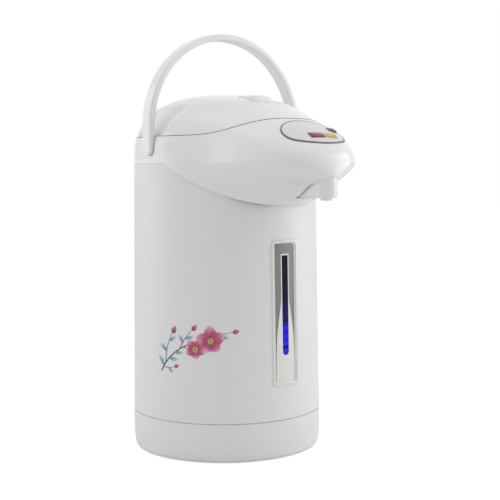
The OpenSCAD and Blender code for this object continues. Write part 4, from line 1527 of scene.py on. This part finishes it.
    def spout(self) -> None:
        """Moulds the spout cover with a rounded lower edge, and turns the nozzle."""
        r, y0, z0 = self.spout_r, -self.spout_y, self.spout_z
        back = -float(self.head.shell(z0)) - self.cover_play
        rings = []
        for inset, z in [(0, self.cover_top)] + [(inset, z0 + lift) for inset, lift in self.cover_edge]:
            q = r - inset
            flat = np.array(arc((0, y0), q, 0, -180, 49) + [(-q, back), (q, back)])
            rings.append(np.column_stack([flat, np.full(len(flat), z)]))
        obj = make_object("spout_cover_skin", *ring_skin(np.array(rings), True), WHITE_ABS, crease=35)
        q = r - self.cover_wall
        rear = back + self.cover_back
        hollow = arc((0, y0), q, 0, -180, 33) + [(-q, rear), (q, rear)]
        points, faces = revolve(self.nozzle_hole, 48)
        inside = cutter(*prism(hollow, "z", z0 + self.cover_wall, 300))
        carve(obj, [inside, cutter(points + [0, y0, 0], faces)], 35)
        settle(obj, "pot", "white_plastic", ["spout_cover"])
        points, faces = revolve(fillet([(r, z0 + z, corner) for r, z, corner in self.nozzle]), 64)
        nozzle = make_object("nozzle_skin", points + [0, y0, 0], faces, WHITE_ABS)
        settle(nozzle, "pot", "white_plastic", ["nozzle"])

    def build(self) -> None:
        """Builds the fixed upper parts."""
        self.collar()
        self.bosses()
        self.hood()
        self.spout()


# ---------------------------------------------------------------- lid


@dataclass
class Lid:
    """Domed lid with its recess under the bail, and the latch lever on top."""

    head: HeadShape
    housing: Housing
    lever_w: float = 25.0
    lever_y: float = -45.0
    lever_tip: float = -73.0
    lever_roll: float = 4.6
    plan_r: float = 15.0
    relief: Tuple[Pair, ...] = (
        (318, 87.2), (322, 87.2), (326, 85.9), (330, 83.5), (334, 81.3), (338, 78.7), (342, 76.1),
        (346, 73.2), (350, 70.1), (353.8, 66.0), (366, 62),
    )
    front: Tuple[Pair, ...] = ((318, -13.7), (322, -15), (335, -20), (355, -30), (366, -36))
    front_half: float = 7.0
    rear: Pair = (22.0, 27.0)
    relief_top: Pair = (349.5, 354.5)
    crown: Tuple[Pair, ...] = (
        (-73, 354.6), (-71.6, 356.6), (-69, 359.1), (-65.5, 361.2), (-61, 362.7), (-56, 363.4),
        (-51, 363.5), (-46, 363.2), (-43.2, 362.7), (-41.7, 362.1), (-40.8, 360.8), (-40.4, 358.8),
    )
    crown_drop: Pair = (1.9, 2.4)
    edge_drop: Pair = (2.6, 9.0)
    skirt: Tuple[Pair, ...] = ((-73, 351.8), (-66, 354.3), (-57, 356.6), (-45, 356.6), (-40, 356.6))
    lever_middle: float = -56.0
    lever_rings: Tuple[float, ...] = (0.02, 0.2, 0.38, 0.54, 0.68, 0.79, 0.87, 0.93, 0.97, 0.992, 1.0)
    lever_gap: float = 0.5
    lever_cut: Pair = (335.0, 380.0)
    skirt_share: float = 0.85
    skirt_depth: float = 0.4
    skirt_lift: float = 0.3
    barrel: Triple = (1.55, 4.6, 14.0)
    pivot_z: float = 358.5
    arm: Triple = (4.0, 5.0, 24.9)
    arm_x: float = 10.0
    arm_z: float = 345.05
    knuckle: Triple = (0.01, 3.6, 28.4)

    def dent(self, ring: Points) -> Points:
        """Draws in the lid's skin under the bail, with a soft front edge.

        Args:
            ring: Points from the seam to the top.

        Returns:
            The moved points.
        """
        z = ring[:, 2]
        reach = np.hypot(ring[:, 0], ring[:, 1])
        edge = np.interp(z, *zip(*self.front))
        y, (start, stop), (fading, top) = ring[:, 1], self.rear, self.relief_top
        inside = ease((y - edge + self.front_half) / (2 * self.front_half))
        inside *= ease((stop - y) / (stop - start))
        target = np.interp(z, *smooth_curve(self.relief, 300))
        fall = inside * np.maximum(reach - target, 0) * ease((top - z) / (top - fading))
        scale = (reach - fall) / np.maximum(reach, 1e-6)
        return ring * np.column_stack([scale, scale, np.ones(len(z))])

    def plan(self, grow: float, count: int = 96) -> Points:
        """Outline of the lever from above.

        Args:
            grow: Distance added all round.
            count: Number of points.

        Returns:
            Rows of x and y.
        """
        r, half = self.plan_r + grow, self.lever_w / 2 + grow
        rear, centre = self.lever_y + self.lever_roll + grow, self.lever_tip + self.plan_r
        turn = math.degrees(math.asin(half / r))
        tip = arc((0, centre), r, -90 - turn, -90 + turn, 41)
        return resample(np.array(tip + [(half, rear), (-half, rear), tip[0]]), count + 1)[:-1]

    def cover(self) -> None:
        """Builds the lid's shell, open at the lever and cut to the rolled rear edge."""
        skin = dome_skin(self.head, self.head.seam_gap / 2, self.housing.columns, self.dent)
        obj = make_object("lid_cover_skin", *skin, WHITE_ABS, crease=40)
        hole = [tuple(p) for p in self.plan(self.lever_gap)]
        knuckle, faces = tube_along_x(*self.knuckle, 40)
        cuts = [
            self.housing.split(0.0, self.housing.split_y),
            cutter(*prism(hole, "z", *self.lever_cut)),
            cutter(knuckle + [0, *self.housing.hinge], faces),
        ]
        carve(obj, cuts, 40)
        settle(obj, "lid", "white_plastic", ["lid_cover"])

    def lever(self) -> None:
        """Shapes the lever as a soft crowned tongue."""
        outline = self.plan(0.0, 120)
        middle = np.array([0.0, self.lever_middle])
        ys, zs = smooth_curve(self.crown, 400)
        (side, side_power), (edge, edge_power) = self.crown_drop, self.edge_drop
        rings = []
        for k in self.lever_rings:
            flat = middle + (outline - middle) * k
            drop = side * (np.abs(flat[:, 0]) / (self.lever_w / 2)) ** side_power
            drop += edge * (1 - math.sqrt(max(0.0, 1 - k**edge_power)))
            rings.append(np.column_stack([flat, np.interp(flat[:, 1], ys, zs) - drop]))
        skirt = rings[-1].copy()
        floor = np.interp(skirt[:, 1], *zip(*self.skirt))
        skirt[:, 2] = np.minimum(skirt[:, 2] - self.skirt_depth, floor)
        inner = skirt.copy()
        inner[:, :2] = middle + (outline - middle) * self.skirt_share
        inner[:, 2] += self.skirt_lift
        barrel, barrel_faces = tube_along_x(*self.barrel, 48)
        parts = [
            ring_skin(np.array(rings + [skirt, inner]), True),
            (barrel + [0, self.lever_y, self.pivot_z], barrel_faces),
        ]
        parts += [box_points(self.arm, (x, self.lever_y, self.arm_z)) for x in (-self.arm_x, self.arm_x)]
        obj = make_object("latch_lever_skin", *join_parts(parts), WHITE_ABS, crease=50)
        settle(obj, "lid_lever", "white_plastic", ["latch_lever"])

    def build(self) -> None:
        """Builds the lid's visible parts."""
        self.cover()
        self.lever()


# ---------------------------------------------------------------- handle


@dataclass
class BailHandle:
    """Folding bail: a half ring on two straight legs with round ends."""

    outer_r: float = 98.0
    centre_z: float = 331.3
    thick: float = 7.0
    wide: float = 15.0
    pivot_z: float = 310.0
    corner: float = 2.4

    def section(self, half: float) -> Points:
        """Rounded section as offsets outwards and along Y.

        Args:
            half: Half of its width.

        Returns:
            Rows of the two offsets.
        """
        t = self.thick / 2
        half = max(half, 0.05)
        r = min(self.corner, half * 0.95)
        return np.array(rounded_box(t, -half, half, r, 8))

    def build(self) -> None:
        """Sweeps the section from one round end over the arch to the other."""
        mid = self.outer_r - self.thick / 2
        half = self.wide / 2
        quarter = np.linspace(0, math.pi / 2, 18)[1:]
        leg = [(mid, self.pivot_z - half * math.cos(t), 0.0, half * math.sin(t)) for t in quarter]
        leg += [(mid, float(z), 0.0, half) for z in np.linspace(self.pivot_z, self.centre_z, 8)[1:-1]]
        turn = np.linspace(0, math.pi, 145)
        arch = [(mid * math.cos(t), self.centre_z + mid * math.sin(t), t, half) for t in turn]
        rings = []
        for x, z, t, w in leg + arch + [(-x, z, math.pi, w) for x, z, _, w in reversed(leg)]:
            line = self.section(w)
            out = line[:, 0]
            rings.append(np.column_stack([x + out * math.cos(t), line[:, 1], z + out * math.sin(t)]))
        obj = make_object("bail_handle_skin", *ring_skin(np.array(rings), True), WHITE_ABS, crease=50)
        settle(obj, "bail", "white_plastic", ["handle"])


# ---------------------------------------------------------------- panel and keys


@dataclass
class ControlPanel:
    """Oval panel on the nose with its dark outline and three push keys."""

    head: HeadShape
    half_x: float = 36.8
    half_y: float = 19.8
    centre_y: float = 140.3
    key_round: float = 0.9
    keys: ClassVar[Tuple[Tuple[str, float, float, float], ...]] = (
        ("reboil", -5.4, 150.7, 15.8),
        ("pour", 11.4, 150.2, 15.4),
        ("lock", 25.0, 137.5, 10.0),
    )
    key_length: ClassVar[float] = 7.4
    key_play: ClassVar[float] = 0.8
    key_cut: ClassVar[float] = 20.0
    key_edge: ClassVar[Tuple[Pair, ...]] = ((0, -4.1), (0, 0.9), (0.15, 1.4), (0.45, 1.75), (0.9, 1.9))
    plate_edge: ClassVar[Tuple[Pair, ...]] = (
        (0.002, 0.15), (0.5, 0.15), (0.96, 0.15), (0.96, 0.8), (0.952, 0.95), (0.94, 1.0), (0.8, 1.0),
        (0.6, 1.0), (0.4, 1.0), (0.2, 1.0), (0.002, 1.0),
    )
    bead_edge: ClassVar[Tuple[Pair, ...]] = (
        (0.962, 0.1), (1.0, 0.1), (1.0, 0.9), (0.995, 1.15), (0.97, 1.12), (0.962, 0.9),
    )

    def oval(self, shares: Sequence[Pair], count: int = 120) -> Points:
        """Rings of the oval.

        Args:
            shares: Share of the oval's size and height over the nose, ring by ring.
            count: Points in a ring.

        Returns:
            Array of rings.
        """
        turn = np.linspace(0, 2 * math.pi, count, endpoint=False)
        rings = []
        for k, lift in shares:
            row = []
            for t in turn:
                x, y = self.half_x * k * math.cos(t), self.centre_y + self.half_y * k * math.sin(t)
                row.append((x, -y, self.head.above(x, y) + lift))
            rings.append(row)
        return np.array(rings)

    def build(self) -> None:
        """Builds the plate, its outline and the keys."""
        plate = ring_skin(self.oval(self.plate_edge), True)
        obj = make_object("panel_plate_skin", *plate, PANEL_FILM, crease=40)
        holes = []
        for _, x, y, wide in self.keys:
            size = (wide + self.key_play, self.key_length + self.key_play, self.key_cut)
            points, faces = box_points(size, (0, 0, 0))
            holes.append(cutter(move(points, self.head.on_nose(x, y)), faces))
        carve(obj, holes, 40)
        settle(obj, "pot", "panel_grey", ["panel_plate"])
        # The dark grey bead round the plate is painted shade of the groove.
        bead = ring_skin(self.oval(self.bead_edge), False)
        settle(make_object("panel_outline", *bead, PANEL_GROOVE_SHADE, crease=40), "pot", "panel_grey")
        looks = {
            "reboil": (KEY_MAROON, "maroon_plastic"),
            "pour": (KEY_OLIVE, "olive_plastic"),
            "lock": (KEY_WINE, "dark_maroon_plastic"),
        }
        for name, x, y, wide in self.keys:
            self.key(name, x, y, wide, *looks[name])

    def key(self, name: str, x: float, y: float, wide: float, finish: Finish, slot: str) -> None:
        """Moulds one key with rounded edges.

        Args:
            name: Key name.
            x: Place to the side.
            y: Place in front of the axis.
            wide: Its width.
            finish: Its finish.
            slot: Its material slot.
        """
        a, b = wide / 2, self.key_length / 2
        rings = []
        for inset, z in self.key_edge:
            line = rounded_box(a - inset, -b + inset, b - inset, self.key_round, 5)
            rings.append(np.column_stack([np.array(line), np.full(len(line), z)]))
        points, faces = ring_skin(np.array(rings), True)
        obj = make_object(f"key_{name}", move(points, self.head.on_nose(x, y)), faces, finish, crease=40)
        settle(obj, f"{name}_key", slot, [f"button_{name}"])


# ---------------------------------------------------------------- parts shown as built


class Innards:
    """Finishes for the CAD nodes that are shown as they are."""

    looks: Dict[Finish, Tuple[str, ...]] = {
        MATT_PP: (
            "bottom_cover", "mouth_ring", "inner_lid", "steam_cap", "lid_hinge_leaf", "hood_hinge_leaf",
            "latch_tray", "gauge_backing",
        ),
        GREY_PRINT: ("gauge_mask",),
        RUBBER: ("foot_ring",),
        BLACK_PBT: ("power_inlet", "pump_housing", "pump_cover"),
        ZINC_STEEL: (
            "base_screws", "handle_pins", "housing_screws", "lid_screws", "hinge_pin", "latch_pin",
            "latch_bolt", "latch_spring", "motor_shaft",
        ),
        BRASS: ("inlet_pins",),
        FLOAT_BLUE: ("level_float",),
        SILICONE: ("spout_hose", "lid_gasket", "inlet_hose", "riser_hose", "impeller"),
        STAINLESS: ("vessel",),
        ALUMINIUM: ("heater", "heater_clamp"),
        CERAMIC: ("thermostat", "thermal_fuse"),
        MICA: ("warm_band",),
        FELT: ("insulation",),
        GALVANISED: ("vessel_tray", "motor_bracket"),
        MOTOR_CAN: ("pump_motor",),
        LAMINATE: ("button_board", "control_board"),
    }

    def dress(self, nodes: Dict[str, bpy.types.Object]) -> None:
        """Gives each CAD node its finish.

        Args:
            nodes: CAD nodes by name.
        """
        for finish, names in self.looks.items():
            material = finish.build()
            for name in names:
                node = nodes[name]
                node.data.materials.clear()
                node.data.materials.append(material)
                LOG.info("%s: %s", name, finish.name)


# ---------------------------------------------------------------- studio


@dataclass
class Studio:
    """Pale floor, soft lamps, white surroundings and the camera."""

    azimuth: float = -38.0
    distance: float = 1144.0
    height: float = 282.65
    aside: float = 25.79
    pitch: float = 3.94
    roll: float = -0.40
    focal_px: float = 1083.0
    frame_px: float = 500.0
    sensor: float = 36.0
    ambient: float = 0.66
    floor_lift: float = 0.5
    floor_rings: Tuple[float, ...] = (1.0, 200.0, 600.0, 2000.0, 9000.0)
    aim: Triple = (0.0, -20.0, 220.0)
    boxes: Tuple[Tuple[str, Triple, Pair, float], ...] = (
        ("box_left", (-960, 1020, 420), (1100, 1400), 5.6),
        ("box_right", (1400, -740, 420), (1000, 1400), 11.0),
        ("box_top", (-100, -250, 1500), (1500, 1500), 4.5),
    )

    def world(self) -> None:
        """White where the camera, a reflection or a pane looks, and an even pale light elsewhere."""
        world = bpy.data.worlds.new("studio_world")
        bpy.context.scene.world = world
        world.use_nodes = True
        tree = world.node_tree
        tree.nodes.clear()
        path = add_node(tree, "ShaderNodeLightPath")
        seen = path.outputs["Is Camera Ray"]
        for other in ("Is Glossy Ray", "Is Transmission Ray"):
            either = {0: seen, 1: path.outputs[other]}
            seen = add_node(tree, "ShaderNodeMath", {"operation": "MAXIMUM"}, either).outputs[0]
        pale = {"Color": linear("#f6f6f7"), "Strength": self.ambient}
        plain = add_node(tree, "ShaderNodeBackground", pale)
        white = add_node(tree, "ShaderNodeBackground", {"Color": linear("#ffffff"), "Strength": 1.0})
        both = {0: seen, 1: plain.outputs[0], 2: white.outputs[0]}
        mix = add_node(tree, "ShaderNodeMixShader", {}, both)
        add_node(tree, "ShaderNodeOutputWorld", {}, {"Surface": mix.outputs[0]})

    def floor(self) -> None:
        """A wide pale floor that keeps the object's shadow and reads as white to the camera."""
        sides = 64
        turn = np.linspace(0, 2 * math.pi, sides, endpoint=False)
        rings = [[(r * math.cos(t), r * math.sin(t), -0.02) for t in turn] for r in self.floor_rings]
        faces = grid_faces(len(rings), sides, False, True)
        faces.append(tuple(range(sides)))
        floor = make_object("studio_floor", np.array(rings).reshape(-1, 3), faces, MATT_PP, closed=False)
        mat = bpy.data.materials.new("studio_floor_paper")
        mat.use_nodes = True
        tree = mat.node_tree
        tree.nodes.clear()
        path = add_node(tree, "ShaderNodeLightPath")
        paper = add_node(tree, "ShaderNodeBsdfDiffuse", {"Color": linear("#f3f3f3")})
        lift = add_node(tree, "ShaderNodeEmission", {"Color": linear("#ffffff"), "Strength": self.floor_lift})
        none = add_node(tree, "ShaderNodeEmission", {"Color": linear("#000000"), "Strength": 0.0})
        either = {0: path.outputs["Is Camera Ray"], 1: none.outputs[0], 2: lift.outputs[0]}
        pick = add_node(tree, "ShaderNodeMixShader", {}, either)
        total = add_node(tree, "ShaderNodeAddShader", {}, {0: paper.outputs[0], 1: pick.outputs[0]})
        add_node(tree, "ShaderNodeOutputMaterial", {}, {"Surface": total.outputs[0]})
        floor.data.materials.clear()
        floor.data.materials.append(mat)

    def lamp(self, name: str, place: Triple, size: Pair, power: float) -> None:
        """Hangs a soft lamp that looks at the pot.

        Args:
            name: Lamp name.
            place: Its place in millimetres.
            size: Its two sizes in millimetres.
            power: Its power in watts.
        """
        data = bpy.data.lights.new(name, "AREA")
        data.shape, data.energy = "RECTANGLE", power
        data.size, data.size_y = size[0] * MM, size[1] * MM
        obj = bpy.data.objects.new(name, data)
        obj.location = Vector(place) * MM
        aim = Vector(self.aim) * MM - obj.location
        obj.rotation_euler = aim.to_track_quat("-Z", "Y").to_euler()
        bpy.context.scene.collection.objects.link(obj)

    def lamps(self) -> None:
        """Two tall boxes, behind on the left and in front on the right, and a broad one overhead."""
        for name, place, size, power in self.boxes:
            self.lamp(name, place, size, power)

    def camera(self) -> None:
        """Places the camera by azimuth, distance, height, pitch and roll."""
        t, p, roll = (math.radians(v) for v in (self.azimuth, self.pitch, self.roll))
        right = Vector((math.cos(t), math.sin(t), 0))
        back = Vector((math.sin(t), -math.cos(t), 0))
        up = Vector((0, 0, 1))
        place = (back * self.distance + right * self.aside + up * self.height) * MM
        look = -back * math.cos(p) - up * math.sin(p)
        top = -back * math.sin(p) + up * math.cos(p)
        side = right * math.cos(roll) + top * math.sin(roll)
        head = -right * math.sin(roll) + top * math.cos(roll)
        matrix = Matrix((side, head, -look)).transposed().to_4x4()
        matrix.translation = place
        data = bpy.data.cameras.new("studio_camera")
        data.sensor_width = self.sensor
        data.lens = self.focal_px / self.frame_px * self.sensor
        data.clip_start, data.clip_end = 0.01, 50.0
        camera = bpy.data.objects.new("studio_camera", data)
        camera.matrix_world = matrix
        bpy.context.scene.collection.objects.link(camera)
        bpy.context.scene.camera = camera

    def build(self) -> None:
        """Sets up the studio."""
        self.world()
        self.floor()
        self.lamps()
        self.camera()
        bpy.context.scene.view_settings.view_transform = "Standard"


def main() -> None:
    """Builds the pot around its frame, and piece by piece."""
    logging.basicConfig(level=logging.INFO, format="%(message)s")
    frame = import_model()
    head = HeadShape()
    Casing(head).build()
    LevelGauge(head).build()
    FlowerSpray(head).build()
    housing = Housing(head)
    housing.build()
    Lid(head, housing).build()
    BailHandle().build()
    ControlPanel(head).build()
    Innards().dress(frame["nodes"])
    Studio().build()
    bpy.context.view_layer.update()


if __name__ == "__main__":
    main()
